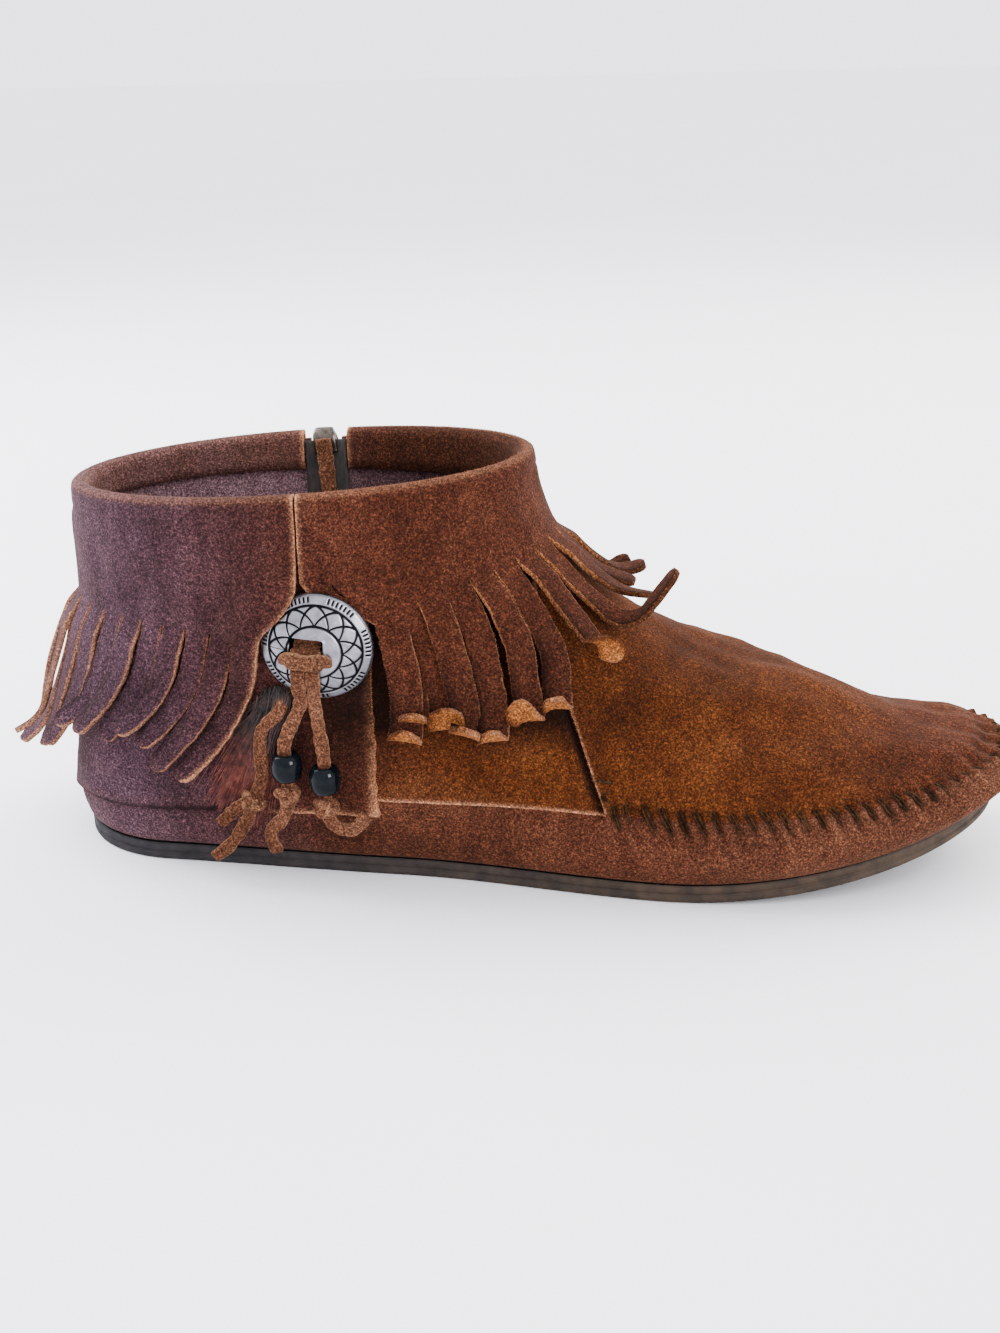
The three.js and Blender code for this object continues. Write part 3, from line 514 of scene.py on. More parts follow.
def rubber_material():
    look = Look("rubber", 0.75, specular=0.2)
    split = look.node("SeparateXYZ", Vector=look.node("TexCoord").outputs["Object"])
    mottled = look.noise(240, 4)
    heel = look.ramp(mottled, (0.35, 0.7), (0.006, 0.005, 0.006), (0.018, 0.015, 0.016))
    toe = look.ramp(mottled, (0.35, 0.7), (0.018, 0.010, 0.005), (0.048, 0.027, 0.013))
    look.set("Base Color", look.mix(look.share(split.outputs["X"], -0.08, 0.07), heel, toe))
    look.bump(look.noise(900, 3), 0.3, 0.0003)
    return look.material


def concho_material():
    look = Look("concho_metal", 0.42, 1.0)
    dark = look.fact("dark")
    silver = look.ramp(look.noise(420, 4), (0.3, 0.7), (0.13, 0.128, 0.142), (0.24, 0.235, 0.26))
    look.set("Base Color", look.mix(dark, silver, (0.004, 0.004, 0.005)))
    look.set("Roughness", look.calc("MULTIPLY_ADD", dark, 0.3, 0.4))
    look.bump(look.noise(1500, 3), 0.25, 0.0001)
    return look.material


def feather_material():
    look = Look("feather", 0.55, specular=0.25)
    streak = look.noise(420, 3, 0.6)
    root = look.ramp(streak, (0.36, 0.66), (0.006, 0.003, 0.003), (0.030, 0.013, 0.010))
    spread = look.ramp(streak, (0.36, 0.5, 0.66), (0.042, 0.0075, 0.005), (0.115, 0.021, 0.013),
                       (0.24, 0.062, 0.042))
    # The barbs are near black at the root, painted shade in the dark window by the concho, and turn red
    # towards the tips.
    look.set("Base Color", look.mix(look.fact("far"), root, spread))
    return look.material


rubber, concho_metal, plume = rubber_material(), concho_material(), feather_material()
thread = plain_material("thread", 0.8, (700, 2), (0.35, 0.7), (0.009, 0.0048, 0.0020),
                        (0.046, 0.025, 0.0105), ((2400, 2, 0.5, (1, 1, 3)), 0.5, 0.0002),
                        specular=0.04)
bead_glass = plain_material("bead_glass", 0.07, (300, 2), (0.3, 0.7), (0.001, 0.002, 0.003),
                            (0.004, 0.006, 0.008), specular=0.07)
WEAVE = (900, 2, 0.5, (1, 1, 0.3))
tape_cloth = plain_material("zip_tape", 0.85, WEAVE, (0.35, 0.7), (0.010, 0.007, 0.006),
                            (0.035, 0.024, 0.020), (WEAVE, 0.4, 0.0002))
zip_metal = plain_material("zip_metal", 0.34, (500, 3), (0.3, 0.7), (0.035, 0.028, 0.024),
                           (0.11, 0.09, 0.075), metallic=1.0)
floor_cloth = plain_material("floor", 0.9, (4, 3), (0.3, 0.7), (0.93, 0.925, 0.94),
                             (0.96, 0.955, 0.97), ((900, 2), 0.15, 0.0004))


def warmth(x):
    # The suede's tint, from the plum heel to the brown front: partly its colour, partly painted light.
    return 0.62 * smoothstep(x, 12, 104)


def fuzz(name, lines, seed, per_mm=10, long=0.6):
    # Short fibres standing off cut edges; a line is its two rims and the way they point.
    random = np.random.default_rng(seed)
    blades = []
    for outer, inner, away in lines:
        run = run_along(outer)
        count = max(1, int(run[-1] * per_mm))
        at = random.uniform(0, run[-1], count)
        deep = random.uniform(0, 1, (count, 1))
        a, b, out = (at_run(rows, run, at) for rows in (outer, inner, unit(away)))
        out = unit(out + random.normal(0, 0.45, (count, 3)))
        spot = lerp(a, b, deep) - out * 0.12
        side = unit(random.normal(size=(count, 3))) * FIBRE_WIDTH / 2
        tip = spot + out * random.uniform(0.25, 1, (count, 1)) ** 1.5 * long
        blades.append(np.stack([spot - side, spot + side, tip], 1).reshape(-1, 3))
    points = np.concatenate(blades)
    dress(name, points, np.arange(len(points)).reshape(-1, 3), cut_edge, "suede", smooth=False,
          wear=np.full(len(points), 0.4), tint=warmth(points[:, 0]))


# Upper
def plug_edge_angle(v, outer):
    x = lerp(PLUG_FOOT_X, PLUG_TOP_X, np.clip((v - SEAM) / (PLUG_TOP - SEAM), 0, 1))
    return angle_at_x(v, x, outer)


def upper_levels(fine):
    # Levels of the rows, as spans of low, high and count, close together at the laps.
    spans = [(0, 3, 10), (3.3, 7, 16), (7.4, RIM, 20)]
    if fine:
        spans = [(0, 1, 4), (1.2, 3.0, 12), (3.1, UNDER_LAP, 6), (REAR_LAP, REAR_LAP, 1),
                 (3.66, 3.94, 8), (3.975, UNDER_SEAM, 2), (4.01, 4.025, 2), (4.06, 4.5, 11), (4.6, 7, 26),
                 (7.15, 10, 20), (10.2, RIM, 16)]
    levels = np.concatenate([np.linspace(*span) for span in spans])
    return np.round(levels, 4) if fine else levels


def upper_columns(v, dense):
    # Angles of every row and column, and each column's panel, laid along the panel edges.
    ragged = 0.22 * waves(np.stack([v * 9, v * 0, v * 0 + 7], -1), 4.5, 3)
    jag = 0.2 * waves(np.stack([v * 9, v * 0, v * 0], -1), 3.7, 4)
    width = 0.25
    half = ZIP_SLOT / 2
    low, high = REAR_PANEL_X + ragged, REAR_PANEL_X + width + ragged
    plug_out, plug_in = plug_edge_angle(v, True), plug_edge_angle(v, False)
    step = width / skin_speed(v, plug_out)
    edges = [
        (v * 0, 7, "rear"), (angle_at_x(v, low, True), 0, "step"),
        (angle_at_x(v, high, True), 6, "quarter"), (plug_out - step + jag * step, 0, "step"),
        (plug_out + jag * step, 26, "plug"), (v * 0 + math.pi, 26, "plug"),
        (plug_in - jag * step, 0, "step"), (plug_in + step - jag * step, 6, "quarter"),
        (angle_at_x(v, high, False), 0, "step"), (angle_at_x(v, low, False), 3, "rear"),
        (angle_at_x(v, ZIP_X + half, False), 1, "slot"),
        (angle_at_x(v, ZIP_X - half, False), 6, "rear"), (v * 0 + TURN, 0, "rear"),
    ]
    angles, panels, before = [], [], []
    for k, (phi, cells, panel) in enumerate(edges[:-1]):
        cells = max(1, int(cells * dense))
        for i in range(cells):
            angles.append(lerp(phi, edges[k + 1][0], i / cells))
            panels.append(panel)
            before.append(edges[k - 1][2] if i == 0 else panel)
    return np.stack(angles, 1), panels, before


def seam_run(phi):
    # Length along the moc seam at angle phi, from the outer end of the plug.
    grid = np.linspace(0, TURN, 1500)
    run = run_along(skin_point(SEAM, grid))
    start = np.interp(plug_edge_angle(SEAM, True), grid, run)
    return np.interp(phi, grid, run) - start


SEAM_LENGTH = float(seam_run(plug_edge_angle(SEAM, False)))


def fold(points, path, depth, width):
    # A soft trough (or ridge, where depth is negative) along a line through given points.
    line = spline(path, 30)
    flat = points.reshape(-1, 3)
    best = np.full(len(flat), 1e9)
    share = np.zeros(len(flat))
    for k in range(len(line) - 1):
        a, b = line[k], line[k + 1]
        t = np.clip(((flat - a) @ (b - a)) / ((b - a) @ (b - a)), 0, 1)
        d = ((flat - a - t[:, None] * (b - a)) ** 2).sum(1)
        near = d < best
        best = np.where(near, d, best)
        share = np.where(near, (k + t) / (len(line) - 1), share)
    ends = np.sqrt(np.clip(np.sin(share * math.pi), 0, 1))
    return (-depth * ends * np.exp(-best / width ** 2)).reshape(points.shape[:-1])


# Creases, each as points on the outside, its depth and its half width
FOLDS = [
    ([(150, -33, 44), (158, -25, 56), (166, -8, 60), (170, 12, 59)], 1.3, 4.5),
    ([(163, -36, 38), (170, -27, 50), (178, -10, 56), (182, 8, 56)], 0.9, 4),
    ([(176, -38, 36), (186, -30, 44), (193, -16, 50)], 0.8, 4),
    ([(196, -36, 34), (205, -27, 40), (212, -12, 44)], -0.7, 5),
    ([(214, -30, 33), (222, -18, 38), (226, -4, 40), (224, 12, 40)], 0.8, 4),
    ([(140, -37, 52), (147, -32, 60), (152, -20, 68)], 1.0, 4),
    ([(100, -36, 44), (112, -37, 36), (126, -38, 33), (140, -38, 35)], 0.9, 4.5),
    ([(94, -36, 33), (106, -37, 28), (122, -39, 29)], -0.6, 3.5),
    ([(30, -33, 52), (44, -35, 44), (60, -35, 40), (80, -35, 42)], 1.0, 5),
    ([(6, -24, 38), (18, -31, 32), (34, -32, 30), (50, -32, 32)], 0.8, 4),
    ([(-1, -12, 44), (0, 0, 42), (0, 13, 44)], 0.9, 5),
    ([(8, 27, 36), (22, 31, 32), (42, 32, 34)], 0.8, 4.5),
    ([(98, 33, 40), (114, 35, 34), (132, 36, 36)], 0.9, 5),
    ([(152, 33, 42), (160, 26, 55), (168, 12, 60)], 1.1, 4.5),
    ([(172, 37, 36), (182, 31, 46), (190, 18, 52)], 0.9, 4),
    ([(205, 34, 34), (213, 25, 40), (220, 10, 43)], 0.7, 4),
    ([(236, -20, 30), (243, -8, 33), (245, 4, 33), (241, 17, 31)], 0.9, 2.6),
    ([(60, -33, 17), (84, -34, 13), (108, -36, 12)], 0.7, 4),
    ([(150, -43, 17), (172, -44, 13), (196, -43, 15)], -0.5, 4),
]


def upper_part(name, fine):
    # The outer leather, fine, or the lining inside it.
    levels = upper_levels(fine)
    angles, panels, before = upper_columns(levels, 7 if fine else 2.5)
    rows, columns = angles.shape
    v = np.broadcast_to(levels[:, None], angles.shape)
    kind = np.array(panels)
    steady = np.where(kind == "step", before, kind)
    rear, plug = np.isin(steady, ("rear", "slot")), steady == "plug"
    quarter = ~rear & ~plug
    point, around, _, normal = skin_frame(v, angles)
    x, y, z = (point[..., k] for k in range(3))
    speed = np.linalg.norm(around, axis=-1)

    def away_from(phi):
        return np.abs(angles - phi) * speed

    # The laps' second layers, the seam's ridge and its welt
    fade = 1 - smoothstep(v, *THINNING)
    layer = rear * np.where(v < REAR_LAP - 0.01, 0, 2 * SUEDE * fade)
    layer += quarter * np.where(v < SEAM, 0, SUEDE * fade)
    run = seam_run(np.mod(angles, TURN))
    phase = np.cos(TURN * (run / STITCH - 0.5))
    toe = (run > -2) & (run < SEAM_LENGTH + 2)
    tip = bell(run, SEAM_LENGTH / 2, 34)
    layer += plug * (SEAM_RIDGE * bell(v, SEAM, 0.16) * (0.62 - 0.42 * phase * (1 - 0.75 * tip)))
    to_plug = np.minimum(away_from(plug_edge_angle(v, True)), away_from(plug_edge_angle(v, False)))
    above_seam = smoothstep(v, SEAM, SEAM + 0.15)
    layer -= quarter * above_seam * (layer + 0.55) * (1 - smoothstep(to_plug, 1.1, 2.1))
    layer += plug * above_seam * 0.85 * bell(to_plug, 0, 3.2)

    # Puckers and gathers at the seam, softness and creases elsewhere
    pucker = np.where(v < SEAM, 0.95 * bell(v, SEAM, 0.62), 0.6 * bell(v, SEAM, 0.75))
    pucker *= toe * -phase * (0.75 + 0.35 * waves(point, 11, 21)) * (1 - 0.7 * tip)
    gather = 0.5 * bell(run, SEAM_LENGTH / 2, 26) * bell(v, 4.6, 1.1) * np.cos(TURN * run / 7.4 + 0.6)
    soft = (0.34 * waves(point, 34, 5) + 0.16 * waves(point, 13, 6)) * smoothstep(v, 1.5, 3)
    relief = pucker + gather + soft + sum(fold(point, *f) for f in FOLDS)
    relief *= smoothstep(away_from(angle_at_x(v, ZIP_X, False)), 4, 12)
    relief *= 1 - smoothstep(v, 9.5, 10.5)
    outer = point + normal * (layer + relief)[..., None]
    on_bed = np.maximum(outer[..., 2], BED + toe_lift(outer[..., 0]))
    outer[..., 2] = np.where(v < 1, on_bed, outer[..., 2])
    inner = point - normal * (WALL - 0.35 * np.clip(relief, -1.5, 0.6))[..., None]

    # The zip's slot is open, and the cut edges of the laps show the leather's inside
    filled = np.ones((rows - 1, columns), bool)
    filled[np.ix_(levels[:-1] >= ZIP_FOOT - 0.01, kind == "slot")] = False
    picks = np.zeros((rows - 1, columns))
    over_lap = (levels[:-1] >= REAR_LAP) & (levels[:-1] < 8.8)
    beside_rear = (np.array(before) == "rear") | (np.roll(kind, -1) == "rear")
    picks[np.ix_(over_lap, (kind == "step") & beside_rear)] = 2
    for level, panel in ((UNDER_LAP, rear), (UNDER_SEAM, quarter)):
        picks[int(np.argmin(np.abs(levels - level)))][panel] = 2

    # Where it is worn, where shade is painted, and its tint, which is partly painted light
    beside = smoothstep(x, 48, 72)
    wear = 0.8 * bell(v, REAR_LAP, 0.11) * rear * (v >= REAR_LAP) * beside
    wear += 0.8 * bell(v, SEAM, 0.11) * quarter * (v >= SEAM)
    # The band below the seam is lighter, more so towards the toe.
    wear += (v < SEAM) * (0.1 + 0.12 * smoothstep(x, 150, 225))
    wear += 0.8 * rear * (v >= REAR_LAP) * bell(away_from(angle_at_x(v, REAR_PANEL_X, True)), 0, 0.7)
    wear += 0.12 * np.clip(relief, 0, 1) + 0.05
    wear += plug * above_seam * 0.75 * bell(to_plug, 0, 0.55)
    shade = np.clip(-relief * 0.38, 0, 0.5)
    shade += rear * 0.9 * bell(v, REAR_LAP - 0.03, 0.14) * (1 - beside)
    shade += plug * 0.25 * bell(v, SEAM + 0.28, 0.12) * toe
    shade += quarter * above_seam * 2.0 * (1 - smoothstep(to_plug, 0.9, 2.1))
    shade += quarter * 0.85 * smoothstep(v, SEAM + 1.5, 7) * (x < PLUG_FOOT_X)
    shade += 0.95 * bell(x, CONCHO_X + 8, 12) * bell(z, CONCHO_HEIGHT - 4, 30) * (y < 0)
    shade += 0.25 * toe * bell(v, SEAM - 0.1, 0.35) * (0.5 + 0.5 * phase)
    # The panels above the seam take the warmer tones, less so at the toe: painted warm light on the top of
    # the foot, while the band below it stays pinker.
    top = above_seam * (quarter | plug) * smoothstep(x, 60, 120)
    tint = warmth(x) + 0.38 * top * (1 - 0.7 * smoothstep(x, 195, 235))
    if not fine:
        wear, shade = wear * 0.5, 0.85 * smoothstep(x, 30, 95)
    piece = sheet(name, outer, inner, [suede, lining, cut_edge], filled, closed=True,
                  fields={"wear": wear, "shade": np.clip(shade, 0, 1), "tint": tint},
                  picks=picks, front=fine, back=not fine)
    seat(piece, "upper")


def panel_edges():
    # The cut edges of the laps: the heel quarter's, the side quarters' and the plug's.
    lines = []

    def edge(v, phi, layer, across, along):
        point, around, up, normal = skin_frame(v, phi)
        outer = point + normal * np.asarray(layer)[..., None]
        lines.append((outer, outer - normal * SUEDE, unit(around) * across + unit(up) * along))

    v = np.linspace(REAR_LAP, 9, 80)
    fade = 2 * SUEDE * (1 - smoothstep(v, *THINNING))
    for side, turn in ((True, 1), (False, -1)):
        edge(v, angle_at_x(v, REAR_PANEL_X, side), fade, turn, 0)
    span = TURN + np.array([angle_at_x(REAR_LAP, x, True) for x in (58, REAR_PANEL_X)])
    edge(REAR_LAP, np.linspace(*span, 160), 2 * SUEDE, 0, -1)
    for side in (True, False):
        span = angle_at_x(SEAM, REAR_PANEL_X, side), plug_edge_angle(SEAM, side)
        edge(SEAM, np.linspace(*span, 80), SUEDE, 0, -1)
    v = np.linspace(SEAM + 0.2, PLUG_TOP, 120)
    for side, turn in ((True, -1), (False, 1)):
        edge(v, plug_edge_angle(v, side), 0.7, turn, 0)
    fuzz("panel_edge_fibres", lines, 23, 16, 0.75)


upper_part("upper_leather", True)
upper_part("upper_lining", False)
panel_edges()


def whip_stitches():
    # Strands over the moc seam, in pairs round the toe, and three short ones at each end.
    parts = []
    grid = np.linspace(0, TURN, 3000)
    runs = seam_run(grid)
    random = np.random.default_rng(8)
    group = [0.5, 1.3, 2.3, 3.0, 4.4, 5.2]
    group_length = 6.5
    clear = group_length / STITCH
    strands = [(run, 0.1, 0.1) for run in group + [SEAM_LENGTH - run for run in group]]
    for k in range(math.ceil(clear), int(SEAM_LENGTH / STITCH - 0.5 - clear)):
        run = (k + 0.5) * STITCH
        slant = -1.3 + random.uniform(-0.4, 0.4)
        reach = random.uniform(-0.05, 0.05)
        strands += [(run - 0.55, slant, reach), (run + 0.55, slant, reach)]
    for run, slant, reach in strands:
        v = np.array([3.60 - reach, 3.70, 3.9, 4.04, 4.24, 4.40 + reach]) + random.uniform(-0.03, 0.03)
        lift = np.array([-0.6, -0.12, 0.2, 0.85, 0.35, -0.7])
        shift = np.linspace(-slant, slant, 6) / 2 + random.uniform(-0.1, 0.1)
        centres = skin_offset(v, np.interp(run + shift, runs, grid), lift)
        parts.append(tube(spline(centres, 10), 0.40, 0.44, 6, out=(0, 0, 1), roundness=2))
    for side, turn in ((True, 1), (False, -1)):
        for level, reach, climb in ((5.15, 4.6, 0.0), (4.35, 0.6, 0.35), (4.5, 1.5, 0.3)):
            v = level + climb * np.linspace(0, 1, 5)
            phi = plug_edge_angle(v, side)
            length = np.linspace(0.4 if climb == 0 else reach, reach, 5)
            lift = np.array([-0.3, 0.9, 1.1, 1.0, -0.3]) + 0.25
            centres = skin_offset(v, phi + turn * length / skin_speed(v, phi), lift)
            parts.append(tube(spline(centres, 10), THREAD_WIDTH, THREAD_WIDTH, 6, out=(0, 0, 1),
                              roundness=2))
    dress("whip_stitches", *joined(parts), thread, "suede")


whip_stitches()


# Sole
def plan_outline(distance, z, points):
    # The upper's outline at its first level, moved out and set to a height.
    phi = np.arange(points) / points * TURN
    point, around, _, _ = skin_frame(1, phi)
    out = unit(np.stack([around[:, 1], -around[:, 0], 0 * phi], -1))
    point = point + out * distance
    point[:, 2] = z + toe_lift(point[:, 0])
    return point


def capped(rings, across, relief, at_top):
    # A body through closed outlines, its two ends closed by grids, one of them with relief.
    n = len(rings[0])
    half = n // 2
    points = [np.concatenate(rings)]
    faces = []
    for base in range(0, (len(rings) - 1) * n, n):
        for i in range(n):
            a, b = base + i, base + (i + 1) % n
            faces.append([a, b, b + n, a + n])
    start = len(rings) * n
    t = np.arange(1, across) / across
    for last in (False, True):
        ring = rings[-1] if last else rings[0]
        base = (len(rings) - 1) * n if last else 0
        left, right = ring[1:half], ring[:half:-1]
        grid = left[:, None] + (right - left)[:, None] * t[None, :, None]
        if last == at_top:
            grid[..., 2] += relief(grid[..., 0], grid[..., 1])
        points.append(grid.reshape(-1, 3))
        number = start + np.arange((half - 1) * (across - 1)).reshape(half - 1, across - 1)
        full = np.concatenate([(base + np.arange(1, half))[:, None], number,
                               (base + n - np.arange(1, half))[:, None]], 1)
        cap = []
        for i in range(half - 2):
            for j in range(across):
                cap.append([full[i, j], full[i, j + 1], full[i + 1, j + 1], full[i + 1, j]])
        cap += [[full[0, j], full[0, j + 1], base] for j in range(across)]
        cap += [[full[-1, j + 1], full[-1, j], base + half] for j in range(across)]
        faces.extend([f if last else f[::-1] for f in cap])
        start += number.size
    return np.concatenate(points), faces


def tread(x, y):
    wave = np.sin(TURN * (x + 2.2 * np.sin(TURN * y / 16)) / 5.2)
    column = np.arange(x.shape[1])
    return 0.45 * np.clip(wave, 0, 1) * smoothstep(np.minimum(column, column[::-1]), 0, 2)


def footbed(x, y):
    heel = np.exp(-((x - 30) / 22) ** 2 - (y / 20) ** 2)
    ball = np.exp(-((x - 180) / 26) ** 2 - ((y + 2) / 24) ** 2)
    return -(0.8 * heel + 0.6 * ball)


def outsole():
    middle = SOLE_THICKNESS / 2
    steps = [(0, -0.8), (0.12, -0.45), (0.4, -0.15), (0.8, 0), (middle - 0.6, 0.02),
             (middle - 0.45, -0.1), (middle - 0.15, -0.45), (middle + 0.15, -0.45),
             (middle + 0.45, -0.1), (middle + 0.6, 0.02), (SOLE_THICKNESS - 0.5, 0),
             (SOLE_THICKNESS - 0.15, -0.15), (SOLE_THICKNESS, -0.5)]
    rings = [plan_outline(SOLE_MARGIN + out, z, 360) for z, out in steps]
    dress("outsole_rubber", *capped(rings, 56, tread, False), rubber, "rubber", "outsole")


def insole():
    shelf = BED + WALL + GAP
    side = -WALL - GAP - INSOLE_INSET
    top = shelf + INSOLE_THICKNESS
    steps = [(shelf, side - 0.4), (shelf + 0.3, side), (top - 0.7, side), (top - 0.15, side - 0.35),
             (top, side - 0.9)]
    rings = [plan_outline(out, z, 240) for z, out in steps]
    dress("insole_sock", *capped(rings, 36, footbed, True), sock, "sock", "insole")


outsole()
insole()

# Cuffs and fringe
# How much further forward some strips of the front fringe hang
FRONT_LEANS = {2: 0.17, 3: 0.04, 4: 0, 5: -0.04, 6: -0.16, 7: -0.22, 8: -0.1}
# How many millimetres longer they are, for their folded tips
FRONT_LONGER = {2: 7, 3: 1.5, 4: 6, 5: 10.5, 6: 6, 7: 7, 8: 20, 9: 5, 10: 1}
# How far a strip turns edge-on, in radians
FRONT_TWISTS = {8: 1.08}
# Tips of the fringe: bend in radians, the bend's length, the tongue past it and the fold's slant
FRONT_TIPS = {0: (1.9, 3, 1.5, 0), 1: (2.3, 3.5, 1.6, 0), 2: (2.6, 4, 3.2, 0.15),
              3: (1.9, 3.5, 2, 0.2), 4: (2.0, 3, 1.6, 0.4), 5: (2.6, 4.5, 4, 0.6), 6: (2.0, 3, 2, 0.6),
              7: (2.4, 4, 5, -0.85), 8: (1.7, 12, 12.5, 0), 9: (0.5, 8, 5, 0), 10: (0.4, 8, 4, 0)}


def front_strip(phi, index):
    forward = bell(phi, math.pi, 0.7)
    length = FRONT_STRIP_LENGTH - 12 * forward - 14 * math.exp(-index)
    lean = 0.12 + 0.5 * forward + FRONT_LEANS.get(index, 0)
    length = length * (1 + 0.06 * math.sin(index * 2.4)) + FRONT_LONGER.get(index, 0)
    tip = FRONT_TIPS.get(index, (0.8 + 0.7 * math.sin(index * 2.3), 8, 3, 0))
    return {"length": length, "direction": (lean + 0.14, 0, -1), "hook": (lean - 0.16, 0, -1),
            "flare": 1 + forward, "curl": 2.5 + math.sin(index * 1.7), "bow": 0, "tip": tip,
            "twist": FRONT_TWISTS.get(index, 0), "widen": 0.08 if index < 7 else -STRIP_TAPER}


def rear_strip(phi, index):
    back, beside = bell(phi, TURN, 0.6), bell(phi, TURN + 1.25, 0.6)
    last = float(smoothstep(phi, TURN + 1.4, TURN + 1.7))
    length = REAR_STRIP_LENGTH - 14 * beside + 7 * last
    lean = -0.5 * (1 - back)
    return {"length": length * (1 + 0.05 * math.sin(index * 2.1)), "direction": (lean * 0.35, 0, -1),
            "hook": (lean * 2.3, 0, -1), "flare": 4 + 9 * back, "curl": 1, "twist": 0,
            "bow": back * (5.5, 1, 3.5)[index % 3], "widen": -STRIP_TAPER,
            "tip": (0.4 + 0.35 * math.sin(index * 1.9), 9, 3, 0)}


def window_edge(v, x, foot):
    # The cuffs part over the concho and meet above it at their seam.
    return lerp(x, CUFF_SEAM_X, smoothstep(v, foot, SEAM_TOP_LEVEL))


# The angles at which a cuff starts and ends, the level of its slits and its strips
FRONT = {"start": lambda v: angle_at_x(v, window_edge(v, WINDOW_FRONT_X, WINDOW_FRONT_FOOT) + GAP, True),
         "end": lambda v: angle_at_x(v, ZIP_X + CUFF_ZIP_GAP / 2, False),
         "slit": lambda phi: 10.7 - 1.1 * bell(phi, 1.7, 0.16) + 0.8 * bell(phi, math.pi, 0.9),
         "strip": front_strip, "shade": 0.32}
REAR = {"start": lambda v: angle_at_x(v, ZIP_X - CUFF_ZIP_GAP / 2, False),
        "end": lambda v: TURN + angle_at_x(v, window_edge(v, WINDOW_REAR_X, WINDOW_REAR_FOOT) - GAP, True),
        "slit": lambda phi: 9.2 + 0 * phi, "strip": rear_strip, "shade": 0.12}


def cuff_angle(side, v, share):
    return lerp(side["start"](v), side["end"](v), share)


def strips_of(side):
    # Each strip's number, the shares of the cuff where it starts and ends, and its angle.
    share = np.linspace(0, 1, 401)
    v = side["slit"](cuff_angle(side, RIM, share))
    run = run_along(skin_point(v, cuff_angle(side, v, share)))
    count = int(round(run[-1] / STRIP_PITCH))
    strips = []
    for k in range(count):
        low = run[-1] * k / count + STRIP_CUT / 2 if k else 0
        high = run[-1] * (k + 1) / count - STRIP_CUT / 2 if k < count - 1 else run[-1]
        a, b = np.interp([low, high], run, share)
        strips.append((k, a, b, float(cuff_angle(side, RIM, (a + b) / 2))))
    return strips


def step_on_skin(v, phi, direction, distance):
    _, around, up, normal = skin_frame(v, phi)
    flat = unit(direction - normal * (direction @ normal))
    a, b, c = around @ around, around @ up, up @ up
    p, q = flat @ around, flat @ up
    det = a * c - b * b
    return v + distance * (a * q - b * p) / det, phi + distance * (c * p - b * q) / det


def concho_frame():
    point, around, _, out = frame_at_x(level_at(CONCHO_X, CONCHO_HEIGHT, True), CONCHO_X, True)
    right = unit(around)
    return point + out * CONCHO_STAND, right, np.cross(out, right), out


CONCHO_MIDDLE, CONCHO_RIGHT, CONCHO_UP, CONCHO_OUT = concho_frame()


def on_concho(a, b, c):
    a, b, c = (np.asarray(value, float)[..., None] for value in (a, b, c))
    return CONCHO_MIDDLE + CONCHO_RIGHT * a + CONCHO_UP * b + CONCHO_OUT * c


def over_concho(points, normals, clear):
    # How far leather at these points moves out to pass over the concho, where it meets it.
    a, b, c = ((points - CONCHO_MIDDLE) @ way for way in (CONCHO_RIGHT, CONCHO_UP, CONCHO_OUT))
    r = np.hypot(a, b)
    top = CONCHO_DOME * np.maximum(1 - (r / CONCHO_RADIUS) ** 2, 0) + CONCHO_PLATE + clear
    facing = normals @ CONCHO_OUT
    near = 1 - smoothstep(r, CONCHO_RADIUS + 0.4, CONCHO_RADIUS + 13)
    return np.maximum(top - c, 0) / np.maximum(facing, 0.2) * near * (facing > 0.3)


STRIP_STEPS = 34
CROSS = np.array([-1, -0.88, -0.45, 0, 0.45, 0.88, 1])


def rolled_tip(centre, arounds, normals, step_length, tip):
    # Bends the end of a strip up and back, and turns its width with it.
    bend_angle, bend_length, tongue, slant = tip
    bend_steps = max(2, round(bend_length / step_length))
    start = STRIP_STEPS - bend_steps - round(tongue / step_length)
    step = centre[start] - centre[start - 1]
    axis = Matrix.Rotation(slant, 3, Vector(normals[start])) @ Vector(unit(arounds[start]))
    sign = 1 if np.cross(np.array(axis), step) @ normals[start] > 0 else -1
    across = np.array(arounds)
    for i in range(start + 1, STRIP_STEPS + 1):
        turn = sign * bend_angle / bend_steps if i <= start + bend_steps else 0
        turning = Matrix.Rotation(turn, 3, axis)
        step = np.array(turning @ Vector(step))
        centre[i] = centre[i - 1] + step
        across[i] = np.array(turning @ Vector(across[i - 1]))
    return centre, across


